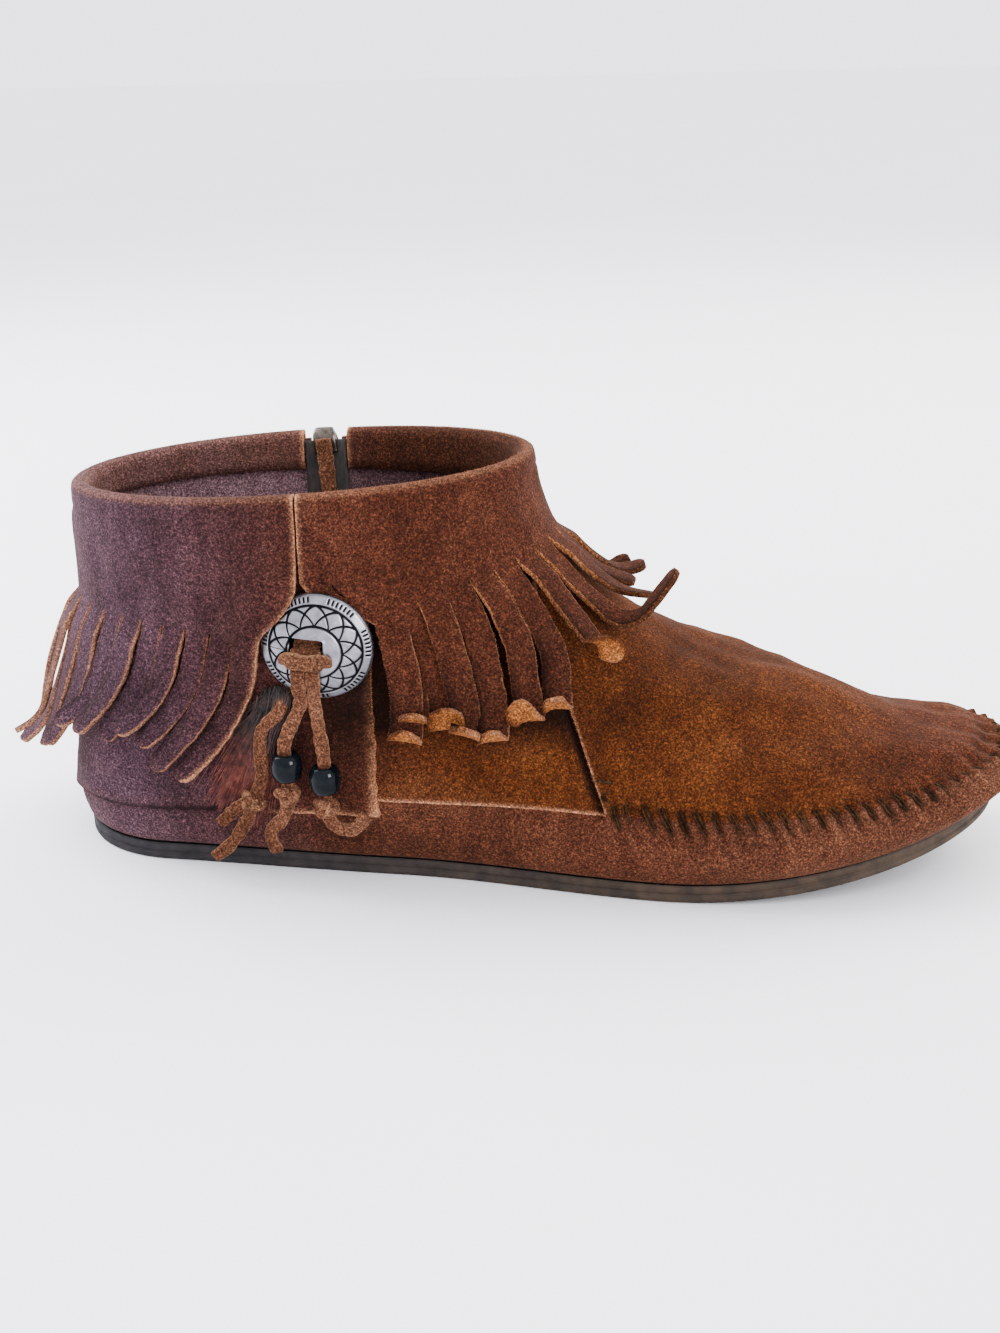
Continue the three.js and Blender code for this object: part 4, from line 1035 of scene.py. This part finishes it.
def strip_rows(side, strip, random):
    # Outer and inner points of one strip, from just under the slit to the tip.
    index, a, b, phi0 = strip
    facts = side["strip"](phi0, index)
    v = float(side["slit"](phi0))
    ends = [skin_point(v, cuff_angle(side, v, s)) for s in (a, b)]
    width = float(np.linalg.norm(ends[0] - ends[1]))
    angle = float(cuff_angle(side, v, (a + b) / 2))
    direction, hook = np.array(facts["direction"], float), np.array(facts["hook"], float)
    length = facts["length"]
    centre, arounds, normals = [], [], []
    for i in range(STRIP_STEPS + 1):
        share = i / STRIP_STEPS
        point, around, _, normal = skin_frame(v, angle)
        stand = CUFF_GAP + (2 * SUEDE + (index % 2) * 1.3) * float(smoothstep(share * length, 0, 9))
        lift = stand + facts["flare"] * share ** 1.6 + facts["curl"] * float(smoothstep(share, 0.72, 1))
        lift += facts["bow"] * math.sin(math.pi * share)
        if side is REAR:
            lift += float(over_concho(point + normal * lift, normal, 0.5)) * (1 - share) ** 2
        centre.append(point + normal * lift)
        arounds.append(around)
        normals.append(normal)
        heading = lerp(direction, hook, share ** 1.3)
        v, angle = step_on_skin(v, angle, heading, length / STRIP_STEPS)
    centre, across = rolled_tip(np.array(centre), arounds, normals, length / STRIP_STEPS, facts["tip"])
    along = unit(np.gradient(centre, axis=0))
    across = unit(across - along * (across * along).sum(1, keepdims=True))
    out = unit(np.cross(along, across))
    if (out[:4] * np.array(normals)[:4]).sum() < 0:
        out = -out
    share = np.arange(STRIP_STEPS + 1) / STRIP_STEPS
    twist = random.normal(0, 0.16) * share ** 1.5 + facts["twist"] * smoothstep(share, 0.35, 0.85)
    bend = random.normal(0, 0.55) * share ** 2 * length / 40
    c, s = np.cos(twist)[:, None], np.sin(twist)[:, None]
    across, out = across * c + out * s, out * c - across * s
    centre = centre + across * bend[:, None]
    half = width / 2 * (1 + facts["widen"] * share)
    cup = 0.28 * smoothstep(share, 0.05, 0.5) * random.uniform(0.4, 1.3)
    rag = 0.07 * waves(centre, 3.1, 40 + index)
    tip = np.clip((1 - share) * length / 3.2, 0, 1)
    spread = CROSS[None] * ((half + rag) * (0.38 + 0.62 * round_end(tip)))[:, None]
    grid = centre[:, None] + across[:, None] * spread[..., None]
    grid = grid - out[:, None] * (CROSS[None] ** 2 * cup[:, None])[..., None]
    return grid + out[:, None] * CUFF_THICKNESS, grid


def fold_point(phi, angle, out):
    # A point of the cuff's fold over the rim, at an angle round it.
    point, _, _, normal = skin_frame(RIM, phi)
    radius = WALL / 2 + out
    point = point + normal * (-WALL / 2 + radius * math.cos(angle))
    point[..., 2] += radius * math.sin(angle)
    return point


def cuff(side, name, node, seed):
    random = np.random.default_rng(seed)
    strips = strips_of(side)
    per = len(CROSS)
    share = np.concatenate([lerp(a, b, (CROSS + 1) / 2) for _, a, b, _ in strips])
    slits = np.repeat([float(side["slit"](phi)) for *_, phi in strips], per)
    built = [strip_rows(side, strip, random) for strip in strips]
    outer_rows, inner_rows = ([np.concatenate([rows[layer][i] for rows in built])
                               for i in range(STRIP_STEPS, 0, -1)] for layer in (0, 1))
    climbs = np.linspace(0, 1, 16)
    for climb in climbs:
        v = lerp(slits, RIM, climb)
        point, _, _, normal = skin_frame(v, cuff_angle(side, v, share))
        soft = 0.28 * waves(point, 26, seed + 1) + 0.12 * waves(point, 9, seed + 2)
        soft = soft * math.sin(math.pi * min(1, climb * 1.15)) ** 0.6
        clear = np.full(v.shape, CUFF_GAP)
        if side is REAR:
            clear += over_concho(point + normal * CUFF_GAP, normal, 0.4) * math.sqrt(1 - climb)
        lift = clear + np.maximum(soft, -0.4) - 0.28 * bell(climb, 0.80, 0.035)
        outer_rows.append(point + normal * (lift + CUFF_THICKNESS)[..., None])
        inner_rows.append(point + normal * clear[..., None])
    at_rim = cuff_angle(side, RIM, share)
    for angle in np.linspace(0, math.pi, 11)[1:-1]:
        outer_rows.append(fold_point(at_rim, angle, CUFF_GAP + CUFF_THICKNESS))
        inner_rows.append(fold_point(at_rim, angle, CUFF_GAP))
    for level in (13, 12.85, 12.6, 12.3, 12.0):
        phi = cuff_angle(side, level, share)
        outer_rows.append(skin_offset(level, phi, -WALL - CUFF_GAP - CUFF_THICKNESS))
        inner_rows.append(skin_offset(level, phi, -WALL - CUFF_GAP))
    outer, inner = np.array(outer_rows), np.array(inner_rows)
    rows, columns = outer.shape[:2]
    filled = np.ones((rows - 1, columns - 1), bool)
    filled[:STRIP_STEPS, per - 1::per] = False

    # Its rows go from the tips to the slits, up to the rim and down inside
    x = outer[..., 0]
    rim_row = STRIP_STEPS + len(climbs)
    wear = np.full(x.shape, 0.06)
    # The strips' cut edges are rubbed lighter, the right edges more than the left as a painted highlight.
    wear[:STRIP_STEPS] += 0.42 * np.tile(np.abs(CROSS) ** 16 * np.where(CROSS > 0, 1.15, 0.45),
                                         len(strips))
    wear[:2] += 0.12
    wear[rim_row:rim_row + 5] += np.array([0.08, 0.3, 0.34, 0.3, 0.2])[:, None]
    # The band turned in over the rim is lighter, most towards the heel: painted light inside the collar.
    wear[rim_row + 5:] += 0.16 + 0.2 * (1 - smoothstep(x[rim_row + 5:], 40, 80))
    for column, amount in ((0, 0.9), (1, 0.5), (-1, 0.9), (-2, 0.5)):
        wear[:, column] += amount
    shade = np.zeros(x.shape)
    left = np.tile(smoothstep(-CROSS, 0.2, 1), len(strips))
    hang = smoothstep(STRIP_STEPS - np.arange(STRIP_STEPS), 4, 26)[:, None]
    shade[:STRIP_STEPS] = hang * (0.6 * left + side["shade"])
    inside = np.arange(rows)[:, None] > rim_row + 4
    shade += 0.55 * inside * smoothstep(x, 55, 105)
    if side is REAR:
        shade += 0.3 * ~inside * bell(x, 62, 16)
    piece = sheet(name, outer, inner, [suede, reverse, cut_edge], filled,
                  fields={"wear": wear, "shade": np.clip(shade, 0, 1), "tint": warmth(x)})
    seat(piece, node)
    lines = []
    for first in range(0, columns, per):
        last = first + per - 1
        for column, beside in ((first, first + 1), (last, last - 1)):
            top = rim_row if column in (0, columns - 1) else STRIP_STEPS
            lines.append((outer[:top, column], inner[:top, column],
                          outer[:top, column] - outer[:top, beside]))
        tips, tongues = outer[0, first:last + 1], outer[2, first:last + 1]
        lines.append((tips, inner[0, first:last + 1], tips - tongues))
    for row in (rim_row + 1, rim_row + 3, rim_row + 5):
        lines.append((outer[row], outer[row], outer[row] - inner[row]))
    fuzz(name + "_fibres", lines, seed + 5)


cuff(FRONT, "front_cuff_leather", "cuff_front", 11)
cuff(REAR, "rear_cuff_leather", "cuff_rear", 17)


# Concho
def concho_lines(a, b):
    # How dark the engraving is at a, b: rings, twelve interlaced arches and tick groups.
    r, angle = np.hypot(a, b), np.arctan2(b, a)
    inner, outer = 0.49 * CONCHO_RADIUS, 0.83 * CONCHO_RADIUS
    gap = np.minimum(np.abs(r - inner), np.abs(r - outer))
    between = (r > inner) & (r < outer)
    for shift in (0, 1):
        t = np.mod(angle / (TURN / 12) + shift, 2) / 2
        arch = inner + (outer - inner) * (1 - np.abs(2 * t - 1) ** 1.4)
        slope = np.gradient(arch, axis=1) / np.maximum(np.gradient(angle, axis=1), 1e-4) / CONCHO_RADIUS
        gap = np.where(between, np.minimum(gap, np.abs(r - arch) / np.sqrt(1 + slope ** 2)), gap)
    line = 1 - smoothstep(gap, 0.24, 0.42)
    turn = np.mod(angle - 0.63, TURN / 7) - TURN / 14
    tick = np.abs(np.mod(turn / 0.084 + 0.5, 1) - 0.5) * 0.084 * r
    share = r / CONCHO_RADIUS
    on_rim = smoothstep(share, 0.87, 0.88) * (1 - smoothstep(share, 0.965, 0.975))
    return np.maximum(line, (1 - smoothstep(tick, 0.22, 0.36)) * (np.abs(turn) < 0.29) * on_rim)


def concho():
    around, rings = 600, 70
    angle = np.arange(around) / around * TURN
    c, s = np.cos(angle), np.sin(angle)
    reach = (np.abs(c / (SLOT_WIDTH / 2)) ** 8 + np.abs(s / (SLOT_HEIGHT / 2)) ** 8) ** (-1 / 8)
    share = np.linspace(0, 1, rings)[:, None]
    a = lerp(SLOT_SPOT[0] + reach * c, CONCHO_RADIUS * c, share)
    b = lerp(SLOT_SPOT[1] + reach * s, CONCHO_RADIUS * s, share)
    r = np.hypot(a, b) / CONCHO_RADIUS
    dome = CONCHO_DOME * (1 - r ** 2)
    dark = concho_lines(a, b)
    rise = CONCHO_PLATE + 0.25 * bell(share, 0.02, 0.03) + 0.22 * (1 - smoothstep(r, 0.45, 0.49))
    rise = rise - 0.16 * dark - 0.45 * smoothstep(r, 0.965, 1)
    top, under = on_concho(a, b, dome + rise), on_concho(a, b, dome)
    piece = sheet("concho_plate", top[::-1], under[::-1], [concho_metal], closed=True,
                  fields={"dark": dark[::-1]})
    seat(piece, "concho")


def strap(name, points, width, thickness, seed, node=None, sides=14, rub=(1, 0), **facing):
    # A suede strap whose cut sides are a little ragged, with its wear along them.
    widths = width * (1 + 0.05 * waves(points, 2.4, seed) + 0.04 * waves(points, 6, seed + 1))
    rings, faces = tube(points, widths, thickness, sides, roundness=3.2, **facing)
    wear = np.tile(0.08 + 0.62 * np.abs(np.cos(ring_angles(sides))) ** 8, len(points))
    return dress(name, rings, faces, lace_suede, "lace", node, wear=wear * rub[0] + rub[1])


def concho_lace():
    a, b = SLOT_SPOT
    path = [(6, -0.8), (4.2, 0.4), (2.6, 1.5), (0.6, 2.2), (-0.5, 3.8), (-1.1, 5.4), (-2.6, 6.5),
            (-4.6, 6.6)]
    centres = spline([on_concho(a, b + up, out) for up, out in path], 40)
    strap("concho_loop", centres, 2 * LACE_WIDTH + GAP, LACE_THICKNESS, 31, "concho_lace", 18,
          across=CONCHO_RIGHT)
    roll = [(-4.7, -3.4, 4.9), (-4.5, -2.6, 6.5), (-2.4, -2.3, 7.6), (1.2, -2.5, 7.7),
            (4.3, -2.6, 6.6), (4.6, -3.5, 4.9)]
    centres = spline([on_concho(a + x, b + up, out) for x, up, out in roll], 30)
    strap("concho_loop_roll", centres, 4.3, 2.4, 33, None, 16, (0.6, 0.25), out=CONCHO_OUT)


def knot(name, middle, lean, seed):
    # An overhand knot: a trefoil of lace about its leg.
    t = np.linspace(0, TURN, 73)
    x, y = np.sin(t) + 2 * np.sin(2 * t), np.cos(t) - 2 * np.cos(2 * t)
    loop = np.stack([x * 0.84, -np.sin(3 * t) * 0.8, y * 0.62], -1) * KNOT_SIZE / 6
    centres = middle + loop @ np.array(Matrix.Rotation(lean, 3, "Y")).T
    widths = 2.5 * (1 + 0.08 * waves(centres, 3, seed))
    rings, faces = tube(centres, widths, 1.9, 10, out=(0, -1, 0))
    return dress(name, rings, faces, lace_suede, "lace", wear=0.28 + 0.2 * waves(rings, 2.0, seed + 5))


def hang(piece, centres, width, **more):
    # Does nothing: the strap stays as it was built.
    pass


def lace_cord(name, node, route, knot_at, lean, seed, extra):
    # A suede lace that hangs through given points, with its knot.
    centres = spline(route, 90)
    piece = strap(name, centres, LACE_WIDTH, LACE_THICKNESS, seed, node, out=(0, -1, 0))
    tied = knot(name + "_knot", knot_at, lean, seed + 2)
    hang(piece, centres, LACE_WIDTH, with_pieces=[tied, extra])


def leg_route(side, bead, end):
    # From the concho's slot over its face, through a bead and to given points beyond it.
    a, b = SLOT_SPOT
    x = a + side * (LACE_WIDTH + GAP) / 2
    over = [(-4.95, 6.5), (-8, 6), (-12, 4.7), (-16, 3.4)]
    spots = [(0, 0, BEAD_HEIGHT / 2 + 3), (0, 0, 0), (0, 0, -8.2), *end]
    return [on_concho(x, b + up, out) for up, out in over] + [bead + spot for spot in spots]


def laces():
    beads = [bead("bead_front", BEAD_FRONT), bead("bead_rear", BEAD_REAR)]
    front = leg_route(1, BEAD_FRONT, [(1.7, 0.5, -13.1), (6.2, 1.5, -14.4), (9.7, 3, -11.1)])
    rear = leg_route(-1, BEAD_REAR, [(-2.1, 1, -14.6), (-6.1, 2, -19.6), (-5.1, 3, -25.6)])
    under = (0, -0.6, -7.6)
    lace_cord("lace_front_leg", "lace_front", front, BEAD_FRONT + under, 0.3, 51, beads[0])
    lace_cord("lace_rear_leg", "lace_rear", rear, BEAD_REAR + under, -0.25, 61, beads[1])
    long_spots = [(-6.6, 2, 8), (-7.4, 2.3, -4), (-10.1, 2.3, -11), (-12.6, 2.5, -17),
                  (-17, 2.5, -23.5), (-22, 3, -28)]
    long_route = [on_concho(-8.5, -13.2, 1), on_concho(-9.6, -18, 2.7),
                  *[BEAD_REAR + spot for spot in long_spots]]
    stub = [BEAD_REAR + spot for spot in ((-9, 2.6, -9.5), (-12.5, 3.4, -12), (-16, 3.6, -14.6),
                                          (-20, 3.4, -18.4))]
    loose = strap("lace_loose_end", spline(stub, 30), LACE_WIDTH, LACE_THICKNESS, 75, out=(0, -1, 0))
    lace_cord("lace_long_leg", "lace_long", long_route, BEAD_REAR + (-10.1, 1.8, -11), 0.5, 71, loose)


def bead(node, middle):
    # A turned profile round the bore, from the foot up the outside and down the bore.
    around = 44
    t = np.linspace(-1, 1, 26) * math.pi / 2
    bore, half = BEAD_BORE / 2, BEAD_HEIGHT / 2
    rim = bore + 0.3
    outer = rim + (BEAD_WIDTH / 2 - rim) * np.cos(t) ** 0.95
    profile = [(r, half * h) for r, h in zip(outer, np.sin(t))]
    profile += [(bore + 0.1, half - 0.1), (bore, half - 0.6), (bore, 0), (bore, 0.6 - half),
                (bore + 0.1, 0.1 - half)]
    n = len(profile)
    points = [middle + (r * math.cos(u), r * math.sin(u), h)
              for r, h in profile for u in np.arange(around) / around * TURN]
    faces = [[k * around + i, k * around + j, (k + 1) % n * around + j, (k + 1) % n * around + i]
             for k in range(n) for i, j in zip(range(around), [*range(1, around), 0])]
    return dress(node + "_glass", points, faces, bead_glass, "bead_glass", node)


def feather(node, root, tip, width, stand, deep, seed):
    # A quill with fine barbs that sweep back to the tip, lying off the outer side.
    random = np.random.default_rng(seed)
    root, tip = np.array(root, float), np.array(tip, float)
    along = tip - root
    across = np.array([along[1], -along[0]]) / np.linalg.norm(along)
    cell, barbs = 1.5, 420
    quill_points, quill_sides, barb_points, barb_sides = 12, 6, 9, 4
    cache = {}

    def place(spot, out):
        key = (round(spot[0] / cell), round(spot[1] / cell))
        if key not in cache:
            x, z = key[0] * cell, key[1] * cell
            cache[key] = frame_at_x(level_at(x, z, True), x, True)
        point, _, _, normal = cache[key]
        flat = np.array([spot[0] - point[0], 0, spot[1] - point[2]])
        return point + flat - normal * (flat @ normal) + normal * out

    quill = [place(root + along * s, stand + 0.5 * math.sin(math.pi * s))
             for s in np.linspace(0, 0.96, quill_points)]
    parts = [tube(quill, np.linspace(1.0, 0.3, quill_points), np.linspace(0.8, 0.3, quill_points),
                  quill_sides, out=(0, -1, 0))]
    shares = [np.zeros(quill_points * quill_sides)]
    for _ in range(barbs):
        s = random.uniform(0, 0.35)
        begin = root + along * s * 0.6 + across * random.normal(0, 1.3)
        far = random.uniform(0.55, 1.12)
        spread = random.normal(0, 0.36) * width * (0.3 + far * 0.5)
        end = root + along * far + across * spread
        middle = (begin + end) / 2 + across * spread * 0.22 + random.normal(0, 0.3, 2)
        high = stand + random.uniform(0, deep) * (0.5 + 0.5 * math.sin(math.pi * far))
        near = stand + random.uniform(0, 2.6)
        path = [place(begin, near), place(middle, high), place(end, high * random.uniform(0.5, 0.9))]
        taper = np.linspace(random.uniform(0.16, 0.42), 0.07, barb_points)
        parts.append(tube(spline(path, barb_points), taper, taper * 0.6, barb_sides, out=(0, -1, 0)))
        share = np.linspace(s * 0.6, far, barb_points)
        shares.append(np.repeat(smoothstep(share, 0.3, 0.85), barb_sides))
    dress(node + "_barbs", *joined(parts), plume, "feather", node, far=np.concatenate(shares))


concho()
concho_lace()
laces()
feather("feather_front", (69.5, 56.5), (57, 19), 9, 2 * SUEDE + 2.0, 4.5, 81)
feather("feather_rear", (66.5, 55), (48, 22), 10, 2 * SUEDE + 0.4, 2.2, 82)

# Zip
TAPE_OUT = -WALL - GAP
TAPE_IN = TAPE_OUT - 1
TOP_POINT, TOP_AROUND, TOP_UP, TOP_OUT = frame_at_x(RIM, ZIP_X, False)


def over_zip(out, up):
    return TOP_POINT + TOP_OUT * out + unit(TOP_UP) * up


def zip_tape():
    v = np.linspace(ZIP_FOOT - 0.3, 12.9, 60)[:, None]
    across = np.linspace(TAPE_WIDTH / 2, -TAPE_WIDTH / 2, 15)[None]
    v, across = np.broadcast_arrays(v, across)
    phi = angle_at_x(v, ZIP_X - across, False)
    rib = 0.12 * bell(np.abs(across), 3.2, 0.5) + 0.05 * np.sin(v * 60)
    piece = sheet("zip_tape_cloth", skin_offset(v, phi, TAPE_OUT - 0.15 + rib),
                  skin_offset(v, phi, TAPE_IN), [tape_cloth])
    seat(piece, "zip_tape")


def brick(point, right, up, out, size):
    # A small block with bevelled edges.
    layers = []
    for inset, depth in ((0.25, 0), (0, 0.25), (0, 0.75), (0.25, 1)):
        w, h = size[0] / 2 - inset * 0.5, size[1] / 2 - inset * 0.5
        layers.append([point + right * x + up * y + out * size[2] * depth
                       for x, y in ((-w, -h), (w, -h), (w, h), (-w, h))])
    faces = [[0, 3, 2, 1], [12, 13, 14, 15]]
    for k in (0, 4, 8):
        faces += [[k + i, k + j, k + 4 + j, k + 4 + i] for i, j in ((0, 1), (1, 2), (2, 3), (3, 0))]
    return np.array(layers).reshape(-1, 3), faces


def zip_teeth():
    v = np.linspace(ZIP_FOOT + 0.1, 11.6, 200)
    run = run_along(skin_point(v, angle_at_x(v, ZIP_X, False)))
    parts = []
    for k in range(int(run[-1] / TOOTH_PITCH)):
        level = float(np.interp((k + 0.5) * TOOTH_PITCH, run, v))
        point, around, up, normal = frame_at_x(level, ZIP_X, False)
        right, climb = unit(around), unit(up)
        side = 1 if k % 2 else -1
        spot = point + right * side * 0.55 + normal * (TAPE_OUT + GAP)
        parts.append(brick(spot, right, climb, normal, (2.6, 0.75, 1.15)))
        parts.append(brick(spot + right * side * 1.1, right, climb, normal, (0.6, 1.25, 1.0)))
    dress("zip_teeth_rows", *joined(parts), zip_metal, "zip_metal", "zip_teeth", smooth=False)


def zip_slider():
    outer, inner = TAPE_OUT + GAP + SLIDER_PLATE / 2, TAPE_IN - GAP - SLIDER_PLATE / 2
    path = [(outer, -8), (outer, -4), (outer, 0.6), ((outer + inner) / 2, 2.4), (inner, 0.6),
            (inner, -4)]
    centres = spline([over_zip(*p) for p in path], 36)
    share = np.linspace(0, 1, 36)
    widths = 6.6 - 1.6 * bell(share, 0.55, 0.12) - 1.2 * bell(share, 0, 0.08)
    body = tube(centres, widths, SLIDER_PLATE, 16, across=unit(TOP_AROUND), roundness=5)
    dress("zip_slider_body", *body, zip_metal, "zip_metal", "zip_slider")


def zip_pull():
    inner = TAPE_IN - 2 * GAP - SLIDER_PLATE - PULL_THICKNESS / 2
    path = [(inner, 0.5), (inner - 0.4, -6), (inner - 2, -14), (inner - 3, -23), (inner - 3, -32),
            (inner - 4, -40)]
    centres = spline([over_zip(*p) for p in path], 50)
    piece = strap("zip_pull_strip", centres, PULL_WIDTH, PULL_THICKNESS, 91, "zip_pull", 16,
                  across=unit(TOP_AROUND))
    hang(piece, centres, PULL_WIDTH)


zip_tape()
zip_teeth()
zip_slider()
zip_pull()


# Floor, light
def add_floor():
    reach = 30.0
    mesh = bpy.data.meshes.new("floor")
    mesh.from_pydata([(-reach, -reach, 0), (reach, -reach, 0), (reach, reach, 0), (-reach, reach, 0)],
                     [], [(0, 1, 2, 3)])
    mesh.materials.append(floor_cloth)
    placed_object("floor", mesh)


def add_area(name, spot, aim, size, power, colour=(1, 1, 1)):
    data = bpy.data.lights.new(name, "AREA")
    data.size = size
    data.energy = power
    data.color = colour
    light = placed_object(name, data)
    light.location = spot
    light.rotation_euler = (Vector(aim) - Vector(spot)).to_track_quat("-Z", "Y").to_euler()
    return light


add_floor()
add_area("key", (-0.85, 0.25, 0.8), (0, 0, 0.04), 0.8, 30, (0.92, 0.95, 1.0))
add_area("back", (0.6, 0.7, 0.8), (0, 0, 0.04), 0.9, 15, (1.0, 0.97, 0.93))
glint = add_area("glint", (0.76, -0.62, 0.35), (-0.05, -0.04, 0.03), 0.38, 24)
glint.visible_diffuse = False
world = bpy.data.worlds.new("world")
world.use_nodes = True
world.node_tree.nodes["Background"].inputs["Color"].default_value = (0.93, 0.94, 1.0, 1)
world.node_tree.nodes["Background"].inputs["Strength"].default_value = 3.1
bpy.context.scene.world = world
